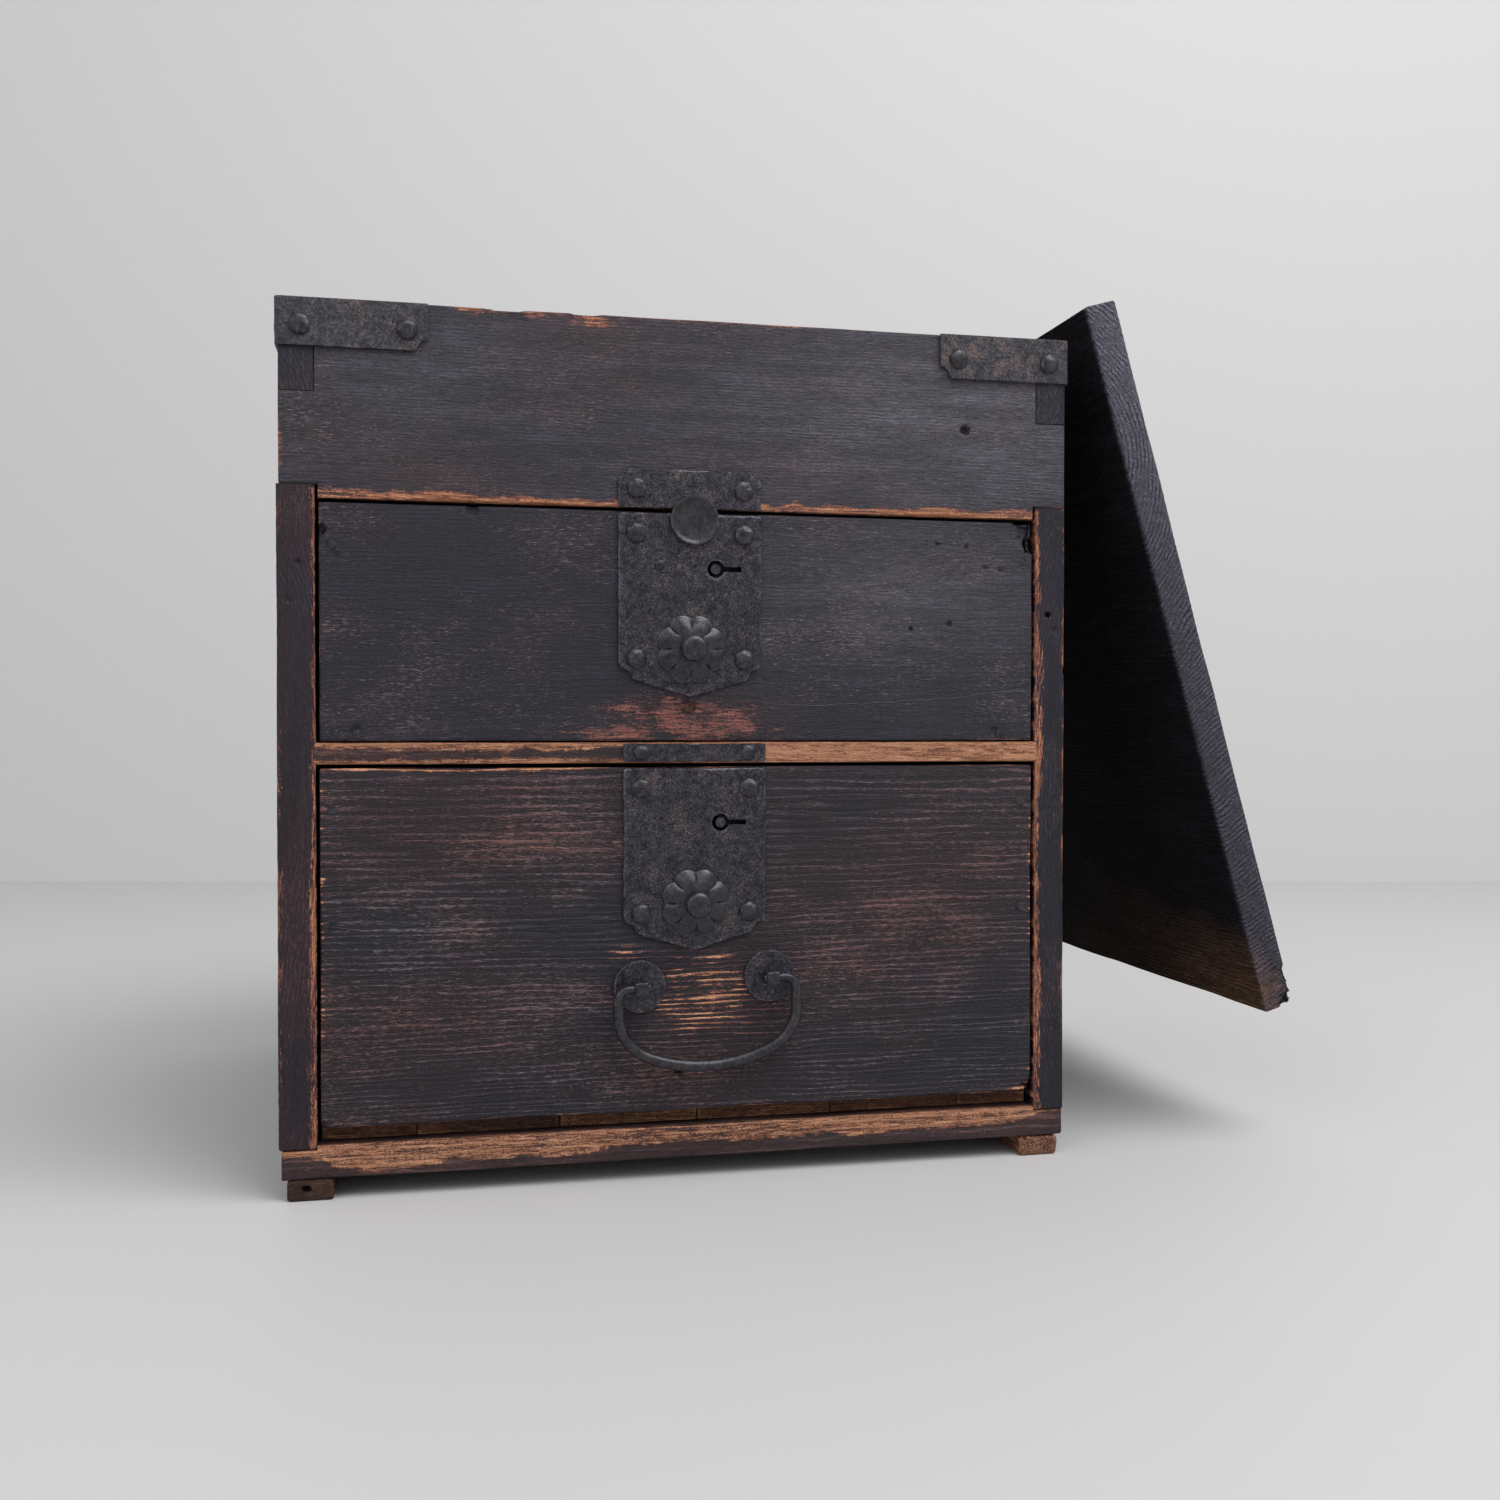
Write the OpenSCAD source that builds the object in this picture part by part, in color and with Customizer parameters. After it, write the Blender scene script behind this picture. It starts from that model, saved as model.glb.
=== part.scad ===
// Wooden document box: an open tray with a hinged lid over two locking drawers.
// Case coordinates: x from the left side, y from the front edges, z from the floor.

/* [Case] */
// Width over the side boards
case_w = 400; // [340:1:480]
// Depth from the front edges to the back
case_d = 375; // [320:1:440]
// Height from the floor to the top edge
case_h = 432; // [415:1:480]
// Thickness of the side, front and top back boards
board_t = 16.8; // [15:0.2:20]
// Thickness of the boards that close the back between the sides
back_t = 10; // [8:0.5:13]
// Thickness of the bottom board under the sides
bottom_t = 14.2; // [11:0.2:18]
// Step up of the bottom board between the sides
bottom_rise = 2; // [1:0.5:4]
// Height of the foot runners
foot_h = 10.3; // [8:0.1:20]
// Width of the foot runners
foot_w = 22; // [18:1:40]
// Distance of each foot runner from the end of the bottom board
foot_inset = 2.5; // [0:0.5:6]
// Height of the finger-jointed top frame
frame_h = 88.5; // [80:0.5:100]
// Height of the front board's own finger at each corner
finger_h = 44.5; // [30:0.5:55]
// Depth of the front board's lip between the sides
lip_h = 6.5; // [3:0.5:10]
// Gap between the lip and the side boards
lip_gap = 1.5; // [0.5:0.1:3]
// Thickness of the tray floor
floor_t = 9; // [6:0.5:14]
// Height of the tray floor's underside over the lip's edge
floor_up = 1; // [0.5:0.5:3]
// Depth of the groove that holds the tray floor
groove_d = 5; // [3:0.5:8]

/* [Rail] */
// Clear height of the upper drawer's bay under the lip
upper_bay_h = 116.7; // [110:0.1:130]
// Height of the rail between the drawers
rail_h = 10.8; // [9:0.2:16]
// Depth of the rail behind the front edges
rail_d = 45; // [30:1:80]
// Length of the rail's tenon in each side board
tenon_l = 6; // [4:0.5:10]
// Width of the runners behind the rail
runner_w = 14; // [13:1:24]

/* [Drawers] */
// Thickness of the drawer fronts
front_t = 15; // [14:0.5:19]
// Thickness of the drawer sides
drawer_side_t = 12; // [9:0.5:15]
// Thickness of the drawer backs
drawer_back_t = 10; // [7:0.5:14]
// Thickness of the drawer bottoms
drawer_bottom_t = 7.6; // [6:0.2:10]
// How far the drawer sides stop below the top of the front
side_drop = 4; // [2:0.5:12]
// Width of each board in a drawer's bottom
slat_w = 70; // [50:1:100]
// Gap between the boards of a drawer's bottom
slat_gap = 0.3; // [0.1:0.1:1]
// How far the lower drawer's bottom stays behind its front
bottom_recess = 9; // [4:0.5:10]
// Gap beside each drawer
drawer_side_gap = 1.5; // [0.8:0.1:3]
// Gap above each drawer front
drawer_top_gap = 1.5; // [1:0.1:3]
// Running gap under each drawer
run_gap = 0.3; // [0.2:0.1:0.6]
// Gap between a closed drawer and the back
rear_gap = 0.4; // [0.2:0.1:2]

/* [Locks] */
// Thickness of the lock plates and keepers
plate_t = 1.6; // [1.2:0.1:2.5]
// Width of the lock plates and keepers
plate_w = 73; // [68:1:80]
// Height of a lock plate down to its shoulders
plate_h = 76; // [74:1:82]
// Height of the pointed end under the shoulders
point_h = 16; // [14:1:22]
// Distance of a lock plate from the top of its drawer front
plate_drop = 0.8; // [0.5:0.1:1.5]
// Sideways place of the upper lock from the middle
upper_lock_x = -1.6; // [-20:0.2:20]
// Sideways place of the lower lock from the middle
lower_lock_x = 0.8; // [-20:0.2:20]
// Height of the upper keeper
upper_keeper_h = 19.5; // [16:0.5:24]
// Height of the lower keeper
lower_keeper_h = 9.2; // [8.8:0.1:10]
// Radius of the keyhole
keyhole_r = 4.4; // [3.6:0.1:5]
// Length of the keyhole's slot from its centre
key_slot_l = 13.2; // [10:0.2:13.6]
// Height of the keyhole's slot
key_slot_h = 2.6; // [2:0.1:3.4]
// Radius of the post that the key turns on
key_post_r = 2.5; // [1.6:0.1:2.8]
// Depth of the lock case in the drawer front
lock_case_d = 11; // [10:0.2:12.4]
// Wall of the lock case
lock_wall = 1.2; // [0.8:0.1:1.5]
// Width of the bolt
bolt_w = 12; // [9:0.5:13]
// Thickness of the bolt
bolt_t = 4; // [3:0.5:5]
// Travel of the bolt when the key turns
bolt_throw = 6; // [4:0.5:6.5]
// Clearance round the bolt
bolt_gap = 0.3; // [0.2:0.1:0.5]
// Radius of the round stop disc
disc_r = 12.4; // [10:0.2:13]
// Thickness of the stop disc at its rim
disc_t = 2.4; // [1.8:0.1:3.5]
// Gap between the stop disc and the keeper behind it
disc_gap = 0.3; // [0.2:0.1:0.6]

/* [Knobs] */
// Outer radius of the flower washer
washer_r = 17.4; // [14:0.2:18]
// Number of petals of the flower washer
petals = 8; // [6:1:10]
// Thickness of the flower washer
washer_t = 1.6; // [1.2:0.1:2.4]
// Radius of the knob's head
knob_r = 6.6; // [5.5:0.1:8]
// Reach of the knob in front of its washer
knob_l = 12; // [10:0.5:18]
// Height of the knob over the point of its plate
knob_up = 24; // [22:0.5:27]

/* [Handle] */
// Sideways place of the handle from the middle
handle_x = 5.9; // [-20:0.1:20]
// Distance of the handle's pivots under the point of the lock plate
handle_drop = 15.8; // [14:0.2:24]
// Slope of the line through the handle's pivots, in degrees
handle_slope = 2.75; // [0:0.05:4]
// Distance between the handle's pivots
handle_span = 66.6; // [60:0.2:76]
// Radius of the round plates under the pivots
rosette_r = 13.2; // [10:0.2:14]
// Thickness of the round plates
rosette_t = 1.4; // [1:0.1:2]
// Side of the square eyes
eye_w = 6.8; // [6:0.1:8]
// Distance of the pivots from the round plates
eye_reach = 6; // [5:0.5:9]
// Radius of the handle's rod
rod_r = 2.1; // [1.9:0.1:2.6]
// Radius of the handle's pivot ends
pivot_r = 1.7; // [1.4:0.1:1.8]
// Running clearance of round pivots, on the radius
pivot_gap = 0.05; // [0.02:0.01:0.1]

/* [Irons] */
// Thickness of the corner irons
iron_t = 1.5; // [1:0.1:2.5]
// Length of each leg of a corner iron
iron_l = 70; // [62:1:80]
// Height of the corner irons
iron_h = 23; // [20:0.5:28]

/* [Nails] */
// Radius of the nail shanks
nail_r = 1.2; // [1:0.1:1.6]
// Clearance round the nail shanks
nail_gap = 0.1; // [0.05:0.05:0.2]
// Radius of the large domed heads
dome_r = 5.1; // [3.6:0.1:5.4]
// Height of the large domed heads
dome_h = 2.2; // [1.4:0.1:3]
// Radius of the small domed heads
small_dome_r = 3.9; // [3:0.1:4]
// Height of the small domed heads
small_dome_h = 1.6; // [1:0.1:2]
// Radius of the flush heads
flush_r = 2.3; // [1.8:0.1:2.6]
// Thickness of the flush heads
flush_t = 1.2; // [0.8:0.1:1.6]

/* [Lid] */
// Thickness of the lid
lid_t = 17.6; // [14:0.2:20]
// Gap between the closed lid and the case
lid_gap = 0.3; // [0.2:0.1:1]
// Gap between the lid's hinged edge and the side leaves
lid_edge_gap = 0.4; // [0.3:0.1:1]
// How far the lid's free edge stops short of the case
lid_short = 4; // [0:0.5:8]
// Lean of the hanging open lid from upright, in degrees
lid_lean = 15.9; // [12:0.1:20]

/* [Hinges] */
// Radius of the hinge barrels
barrel_r = 5; // [4.6:0.1:5.6]
// Radius of the hinge pins
pin_r = 1.8; // [1.5:0.1:2.2]
// Width of the hinges
hinge_w = 30; // [24:1:40]
// Thickness of the hinge leaves
leaf_t = 1.6; // [1.2:0.1:2]
// Length of the leaves on the case
side_leaf_l = 45; // [36:1:60]
// Length of the leaves on the lid
lid_leaf_l = 42; // [36:1:60]
// Distance of each hinge's middle from the front and the back
hinge_in = 125; // [95:1:130]
// Gap between neighbouring knuckles
knuckle_gap = 0.3; // [0.2:0.1:0.6]

/* [Hidden] */
$fn = 48;

black_wood = "#2e2a30";
worn_wood = "#6e4630";
bare_wood = "#8a5f3e";
inner_wood = "#7b5a3e";
iron = "#35343a";

// heights of the case, from the floor up
seat_z = foot_h + bottom_t;
bay_z = seat_z + bottom_rise;
frame_z = case_h - frame_h;
finger_z = frame_z + finger_h;
lip_z = frame_z - lip_h;
floor_z = lip_z + floor_up;
shelf_z = lip_z - upper_bay_h;
rail_z = shelf_z - rail_h;

// the drawers
drawer_x = [board_t + drawer_side_gap, case_w - board_t - drawer_side_gap];
drawer_back_y = case_d - back_t - rear_gap;
upper_z = [shelf_z + run_gap, lip_z - drawer_top_gap];
lower_z = [bay_z + run_gap, rail_z - drawer_top_gap];
lower_front_z = lower_z[0] + drawer_bottom_t;
middle = case_w / 2;
slat_joint = 3.5;
slat_count = 2 * ceil(case_w / slat_w / 2 + 0.5);

// nails of the drawers
side_nail_in = drawer_side_t / 2;
side_nail_drops = [20, 75];
base_nail_in = 18;
nail_l = 28;

// the locks, measured from the middle of the plate's top edge
upper_lock = [middle + upper_lock_x, upper_z[1] - plate_drop];
lower_lock = [middle + lower_lock_x, lower_z[1] - plate_drop];
plate_nail_x = plate_w / 2 - 9;
plate_nail_drops = [10.2, plate_h - 3];
keyhole = [12.9, 27.5];
case_x = [-22, keyhole[0] + key_slot_l + lock_wall + 0.8];
case_drop = [14, 46];
bolt_x = -9;
bolt_y = (lock_case_d - bolt_t) / 2;
bolt_foot = [18, 13];
bolt_low = 0.5;
pocket_gap = 0.15;
rivet_r = 2.4;
rivet_h = 1;
upper_rivet = [-15.5, 26];
lower_rivet = [1.7, 5.5];
disc_at = [1.8, 3.6];
disc_shank_r = 2;
disc_shank_l = 9;
knob_shank_r = 2.6;
knob_drop = plate_h + point_h - knob_up;
peg_r = 3.2;
peg_drop = 5;
keeper_nail_x = plate_w / 2 - 9.3;

// the handle
handle_at = [middle + handle_x, -(rosette_t + eye_reach),
    lower_lock[1] - plate_h - point_h - handle_drop];
pivot_x = handle_span / 2;
shoulder = 0.5;
corner_r = 6;
flank = 7.5;
turn_r = 23;
turn_angle = 66;
rod_swell = 0.1;
eye_shank_r = 1.8;
bend_x = pivot_x + eye_w / 2 + shoulder + rod_swell + rod_r;
turn_c = [bend_x + corner_r - turn_r, -corner_r - flank];
belly_r = turn_c[0] / cos(turn_angle) + turn_r;
belly_z = turn_c[1] + (belly_r - turn_r) * sin(turn_angle);

// the irons
iron_nail_ins = [10, iron_l - 10];
iron_nail_drop = 13;

// the hinges and the open lid
lid_z = case_h + lid_gap;
pivot = [case_w + barrel_r, lid_z + lid_t + barrel_r];
open_angle = 270 - lid_lean;
hinge_ys = [hinge_in, case_d - hinge_in];
knuckle_l = (hinge_w - 2 * knuckle_gap) / 3;
notch_z = pivot[1] - 1.9 * barrel_r;
leaf_nail_ins = [12, 32];
leaf_nail_l = 12;
pin_head_r = 3.2;
pin_head_t = 1;
lid_edge_x = case_w - lid_edge_gap;

// the origin: the middle of the whole box with its lid open, on the floor
function turned(x, z, a) = [x * cos(a) + z * sin(a), z * cos(a) - x * sin(a)];
lid_tip = turned(lid_short - pivot[0], lid_z - pivot[1], open_angle);
frame_x = (pivot[0] + lid_tip[0] - iron_t - dome_h) / 2;
frame_y = (case_d + iron_t + dome_h - plate_t - washer_t - knob_l) / 2;

module in_case() {
    translate([-frame_x, -frame_y, 0]) children();
}

// a block between two corners, each side given as [from, to]
module block(x, y, z) {
    translate([x[0], y[0], z[0]]) cube([x[1] - x[0], y[1] - y[0], z[1] - z[0]]);
}

// the same thing on the right side of the case
module on_right() {
    translate([case_w, 0, 0]) mirror([1, 0, 0]) children();
}

// a place on a front face, with the local z towards the viewer
module facing_front(x, y, z) {
    translate([x, y, z]) rotate([90, 0, 0]) children();
}

// a place on the left side's outer face, with the local z outwards
module facing_left(x, y, z) {
    translate([x, y, z]) rotate([0, -90, 0]) children();
}

// a domed head on z = 0
module dome(r, h) {
    ball = (r * r + h * h) / (2 * h);
    intersection() {
        translate([0, 0, h - ball]) sphere(ball);
        cylinder(r = r, h = h);
    }
}

module domed_nail(r, h, length) {
    dome(r, h);
    translate([0, 0, -length]) cylinder(r = nail_r, h = length + h / 2);
}

module flush_nail(length) {
    translate([0, 0, -flush_t]) cylinder(r = flush_r, h = flush_t);
    translate([0, 0, -length]) cylinder(r = nail_r, h = length);
}

module shank_bore(length) {
    translate([0, 0, -length - nail_gap]) cylinder(r = nail_r + nail_gap, h = length + 10);
}

module flush_bore(length) {
    translate([0, 0, -flush_t]) cylinder(r = flush_r + nail_gap, h = flush_t + 1);
    shank_bore(length);
}

// places of the nails in the case

module at_bottom_nails() {
    for (x = [board_t / 2, case_w - board_t / 2], y = [0.12, 0.5, 0.88] * case_d)
        translate([x, y, 0]) mirror([0, 0, 1]) children();
}

// nails through the left side into the back boards, the tray floor and the rail
module at_side_nails() {
    back_y = case_d - back_t / 2;
    back_mid = (bay_z + frame_z) / 2;
    for (z = [bay_z + 25, back_mid - 25, back_mid + 25, frame_z - 25])
        facing_left(0, back_y, z) children();
    for (y = [0.28, 0.5, 0.72] * case_d)
        facing_left(0, y, floor_z + floor_t / 2) children();
    facing_left(0, rail_d / 2, rail_z + rail_h / 2) children();
}

module at_front_iron_nails() {
    for (x = iron_nail_ins)
        facing_front(x, 0, case_h - iron_nail_drop) children();
}

module at_left_iron_nails() {
    for (y = iron_nail_ins)
        facing_left(0, y, case_h - iron_nail_drop) children();
}

module at_back() {
    translate([0, case_d, 0]) mirror([0, 1, 0]) children();
}

module at_side_leaf_nails() {
    for (y = hinge_ys, drop = leaf_nail_ins)
        on_right() facing_left(0, y, case_h - drop) children();
}

module at_lid_leaf_nails() {
    for (y = hinge_ys, in = leaf_nail_ins)
        translate([lid_edge_x - in, y, lid_z + lid_t]) children();
}

// case pieces

module foot() {
    difference() {
        block([foot_inset, foot_inset + foot_w], [0, case_d], [0, foot_h]);
        at_bottom_nails() {
            translate([0, 0, -flush_t]) flush_bore(foot_h + 1);
        }
    }
}

module foot_left() {
    color(bare_wood) in_case() foot();
}

module foot_right() {
    color(bare_wood) in_case() on_right() foot();
}

module bottom_board() {
    color(worn_wood) in_case() difference() {
        union() {
            block([0, case_w], [0, case_d], [foot_h, seat_z]);
            block([board_t, case_w - board_t], [0, case_d], [foot_h, bay_z]);
        }
        at_bottom_nails() shank_bore(seat_z + 1);
    }
}

module bottom_nails() {
    color(iron) in_case() at_bottom_nails()
        translate([0, 0, -flush_t]) flush_nail(seat_z + nail_l);
}

module side_board() {
    difference() {
        block([0, board_t], [0, case_d], [seat_z, case_h]);
        block([-1, board_t + 1], [-1, board_t], [frame_z, finger_z]);
        block([-1, board_t + 1], [case_d - board_t, case_d + 1], [frame_z, finger_z]);
        block([board_t - groove_d, board_t + 1], [board_t, case_d - board_t],
            [floor_z, floor_z + floor_t]);
        block([board_t - tenon_l, board_t + 1], [0, rail_d], [rail_z, shelf_z]);
        at_side_nails() flush_bore(nail_l);
        at_bottom_nails() shank_bore(seat_z + nail_l + flush_t);
        at_front_iron_nails() shank_bore(nail_l);
        at_left_iron_nails() shank_bore(nail_l);
        at_back() at_front_iron_nails() shank_bore(nail_l);
        at_back() at_left_iron_nails() shank_bore(nail_l);
    }
}

module side_left() {
    color(black_wood) in_case() side_board();
}

module side_right() {
    color(black_wood) in_case() difference() {
        on_right() side_board();
        at_side_leaf_nails() shank_bore(leaf_nail_l);
    }
}

module side_nails() {
    color(iron) in_case() {
        at_side_nails() flush_nail(nail_l);
        on_right() at_side_nails() flush_nail(nail_l);
    }
}

// a full-width board of the top frame, with its fingers and nail bores
module frame_board() {
    difference() {
        block([0, case_w], [0, board_t], [frame_z, case_h]);
        block([-1, board_t], [-1, board_t + 1], [finger_z, case_h + 1]);
        block([case_w - board_t, case_w + 1], [-1, board_t + 1], [finger_z, case_h + 1]);
        at_front_iron_nails() shank_bore(nail_l);
        on_right() at_front_iron_nails() shank_bore(nail_l);
        at_left_iron_nails() shank_bore(nail_l);
        on_right() at_left_iron_nails() shank_bore(nail_l);
    }
}

// a mortise for a thrown bolt, cut up from height z over a lock
module mortise(lock, z) {
    depth = bolt_low + bolt_throw;
    block([lock[0] + bolt_x - bolt_w / 2 - bolt_gap, lock[0] + bolt_x + bolt_w / 2 + bolt_gap],
        [bolt_y - bolt_gap, bolt_y + bolt_t + bolt_gap], [z - 1, z + depth]);
}

module top_front_board() {
    lip_x = board_t + lip_gap;
    color(black_wood) in_case() difference() {
        union() {
            frame_board();
            block([lip_x, case_w - lip_x], [0, board_t], [lip_z, frame_z + 1]);
        }
        mortise(upper_lock, lip_z);
        at_upper_keeper_nails() shank_bore(board_t - 4);
    }
}

module top_back_board() {
    color(black_wood) in_case() at_back() frame_board();
}

module back_board(z) {
    difference() {
        block([board_t, case_w - board_t], [case_d - back_t, case_d], z);
        at_side_nails() shank_bore(nail_l);
        on_right() at_side_nails() shank_bore(nail_l);
    }
}

module back_board_upper() {
    color(worn_wood) in_case() back_board([(bay_z + frame_z) / 2, frame_z]);
}

module back_board_lower() {
    color(worn_wood) in_case() back_board([bay_z, (bay_z + frame_z) / 2]);
}

module tray_floor() {
    edge = board_t - groove_d;
    color(inner_wood) in_case() difference() {
        block([edge, case_w - edge], [board_t, case_d - board_t], [floor_z, floor_z + floor_t]);
        at_side_nails() shank_bore(nail_l);
        on_right() at_side_nails() shank_bore(nail_l);
    }
}

module drawer_rail() {
    end = board_t - tenon_l;
    color(bare_wood) in_case() difference() {
        block([end, case_w - end], [0, rail_d], [rail_z, shelf_z]);
        mortise(lower_lock, rail_z);
        at_side_nails() shank_bore(nail_l);
        on_right() at_side_nails() shank_bore(nail_l);
        at_lower_keeper_nails() shank_bore(board_t - 4);
    }
}

module runner() {
    block([board_t, board_t + runner_w], [rail_d, case_d - back_t], [rail_z, shelf_z]);
}

module runner_left() {
    color(inner_wood) in_case() runner();
}

module runner_right() {
    color(inner_wood) in_case() on_right() runner();
}

// one leg of a corner iron, cut in steps at its far lower end
module iron_leg() {
    translate([0, 0, -iron_t]) linear_extrude(iron_t) polygon([
        [-iron_t, 0], [iron_l, 0], [iron_l, -iron_h + 6], [iron_l - 3.5, -iron_h + 4.5],
        [iron_l - 6, -iron_h], [-iron_t, -iron_h]
    ]);
}

module corner_iron() {
    translate([0, 0, case_h]) {
        translate([0, -iron_t, 0]) rotate([90, 0, 0]) iron_leg();
        translate([-iron_t, 0, 0]) mirror([1, 0, 0]) rotate([90, 0, 90]) iron_leg();
    }
}

module bored_iron() {
    difference() {
        corner_iron();
        at_front_iron_nails() shank_bore(1);
        at_left_iron_nails() shank_bore(1);
    }
}

module corner_iron_front_left() {
    color(iron) in_case() bored_iron();
}

module corner_iron_front_right() {
    color(iron) in_case() on_right() bored_iron();
}

module corner_iron_back_left() {
    color(iron) in_case() at_back() bored_iron();
}

module corner_iron_back_right() {
    color(iron) in_case() on_right() at_back() bored_iron();
}

module iron_nail() {
    translate([0, 0, iron_t]) domed_nail(dome_r, dome_h, iron_t + nail_l - 14);
}

module corner_iron_nails() {
    color(iron) in_case() {
        at_front_iron_nails() iron_nail();
        at_left_iron_nails() iron_nail();
        on_right() at_front_iron_nails() iron_nail();
        on_right() at_left_iron_nails() iron_nail();
        at_back() at_front_iron_nails() iron_nail();
        at_back() at_left_iron_nails() iron_nail();
        on_right() at_back() at_front_iron_nails() iron_nail();
        on_right() at_back() at_left_iron_nails() iron_nail();
    }
}

// keepers over the bolts' mortises

module at_upper_keeper_nails() {
    for (side = [-1, 1])
        facing_front(upper_lock[0] + side * keeper_nail_x, 0, lip_z + upper_keeper_h / 2) children();
}

module at_lower_keeper_nails() {
    for (side = [-1, 1])
        facing_front(lower_lock[0] + side * keeper_nail_x, 0, rail_z + rail_h / 2) children();
}

module upper_keeper() {
    half = plate_w / 2;
    step = upper_keeper_h - 4.2;
    color(iron) in_case() difference() {
        facing_front(upper_lock[0], 0, lip_z) linear_extrude(plate_t) polygon([
            [-half, 0], [half, 0], [half, step], [half - 3, step + 1.2], [half - 5.5, step + 4.2],
            [-half + 5.5, step + 4.2], [-half + 3, step + 1.2], [-half, step]
        ]);
        at_upper_keeper_nails() shank_bore(1);
    }
}

module lower_keeper() {
    low = (rail_h - lower_keeper_h) / 2;
    color(iron) in_case() difference() {
        block([lower_lock[0] - plate_w / 2, lower_lock[0] + plate_w / 2], [-plate_t, 0],
            [rail_z + low, rail_z + low + lower_keeper_h]);
        at_lower_keeper_nails() shank_bore(1);
    }
}

module keeper_nails() {
    length = plate_t + board_t - 5;
    color(iron) in_case() {
        at_upper_keeper_nails() translate([0, 0, plate_t]) domed_nail(dome_r, dome_h, length);
        at_lower_keeper_nails() translate([0, 0, plate_t])
            domed_nail(small_dome_r, small_dome_h, length);
    }
}

// hinges, drawn with the lid closed

// a row of knuckles round the pivot, each given as the start of its third of the width
module knuckles(y, thirds) {
    for (i = thirds)
        translate([pivot[0], y - hinge_w / 2 + i * (knuckle_l + knuckle_gap), pivot[1]])
            rotate([-90, 0, 0]) cylinder(r = barrel_r, h = knuckle_l);
}

module pin_bore(y) {
    translate([pivot[0], y - hinge_w, pivot[1]]) rotate([-90, 0, 0])
        cylinder(r = pin_r + pivot_gap, h = 2 * hinge_w);
}

module side_leaf(y) {
    low = y - hinge_w / 2;
    difference() {
        union() {
            block([case_w, case_w + leaf_t], [low, low + hinge_w], [case_h - side_leaf_l, pivot[1]]);
            knuckles(y, [0, 2]);
        }
        block([case_w - 1, case_w + 3 * barrel_r],
            [low + knuckle_l, low + hinge_w - knuckle_l], [notch_z, pivot[1] + 2 * barrel_r]);
        pin_bore(y);
    }
}

module lid_leaf(y) {
    low = y - hinge_w / 2;
    z = lid_z + lid_t;
    mid_y = [low + knuckle_l + knuckle_gap, low + 2 * knuckle_l + knuckle_gap];
    difference() {
        union() {
            block([lid_edge_x - lid_leaf_l, lid_edge_x - knuckle_gap], [low, low + hinge_w],
                [z, z + leaf_t]);
            block([lid_edge_x - lid_leaf_l, pivot[0]], mid_y, [z, z + leaf_t]);
            knuckles(y, [1]);
        }
        pin_bore(y);
    }
}

module hinge_side_leaves() {
    color(iron) in_case() difference() {
        for (y = hinge_ys) side_leaf(y);
        at_side_leaf_nails() shank_bore(1);
    }
}

module hinge_pins() {
    color(iron) in_case() for (y = hinge_ys)
        translate([pivot[0], y - hinge_w / 2, pivot[1]]) rotate([-90, 0, 0]) {
            translate([0, 0, -pin_head_t]) cylinder(r = pin_head_r, h = pin_head_t);
            cylinder(r = pin_r, h = hinge_w);
            translate([0, 0, hinge_w]) cylinder(r = pin_head_r, h = pin_head_t);
        }
}

module hinge_side_nails() {
    color(iron) in_case() at_side_leaf_nails() translate([0, 0, leaf_t])
        domed_nail(small_dome_r, small_dome_h, leaf_t + leaf_nail_l);
}

// swings a piece that is drawn with the lid closed to where the open lid hangs
module swung_open() {
    in_case() translate([pivot[0], 0, pivot[1]]) rotate([0, open_angle, 0])
        translate([-pivot[0], 0, -pivot[1]]) children();
}

module lid_board() {
    color(black_wood) swung_open() difference() {
        block([lid_short, lid_edge_x], [0, case_d], [lid_z, lid_z + lid_t]);
        at_lid_leaf_nails() shank_bore(leaf_nail_l);
    }
}

module hinge_lid_leaves() {
    color(iron) swung_open() difference() {
        for (y = hinge_ys) lid_leaf(y);
        at_lid_leaf_nails() shank_bore(1);
    }
}

module hinge_lid_nails() {
    color(iron) swung_open() at_lid_leaf_nails() translate([0, 0, leaf_t])
        domed_nail(small_dome_r, small_dome_h, leaf_t + leaf_nail_l);
}

// drawers; span is the drawer's own [underside, top of the front]

module at_left_front_nails(span) {
    for (drop = side_nail_drops)
        facing_front(drawer_x[0] + side_nail_in, 0, span[1] - drop) children();
}

module at_front_nails(span) {
    at_left_front_nails(span) children();
    on_right() at_left_front_nails(span) children();
}

// nails through the upper drawer's front into the ends of its bottom boards
module at_base_nails() {
    for (x = [drawer_x[0] + base_nail_in, drawer_x[1] - base_nail_in])
        facing_front(x, 0, upper_z[0] + drawer_bottom_t / 2) children();
}

// the bottom boards as [from, to], clipped to the drawer's width
function slat_span(i) = let (joint = middle + slat_joint + (i - slat_count / 2) * slat_w)
    [max(drawer_x[0], joint + slat_gap / 2), min(drawer_x[1], joint + slat_w - slat_gap / 2)];

// nails from below through each bottom board, between the drawer's sides
module at_slat_nails(z, y) {
    for (i = [0 : slat_count - 1]) {
        low = max(slat_span(i)[0], drawer_x[0] + drawer_side_t);
        high = min(slat_span(i)[1], drawer_x[1] - drawer_side_t);
        if (high - low > 4 * flush_r)
            translate([(low + high) / 2, y, z]) mirror([0, 0, 1]) children();
    }
}

module at_drawer_back_nails(z) {
    at_slat_nails(z, drawer_back_y - drawer_back_t / 2) children();
}

module at_lower_lip_nails() {
    at_slat_nails(lower_z[0], (bottom_recess + front_t) / 2) children();
}

module drawer_side(span) {
    difference() {
        block([drawer_x[0], drawer_x[0] + drawer_side_t], [front_t, drawer_back_y],
            [span[0] + drawer_bottom_t, span[1] - side_drop]);
        at_left_front_nails(span) shank_bore(front_t + nail_l);
    }
}

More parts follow.
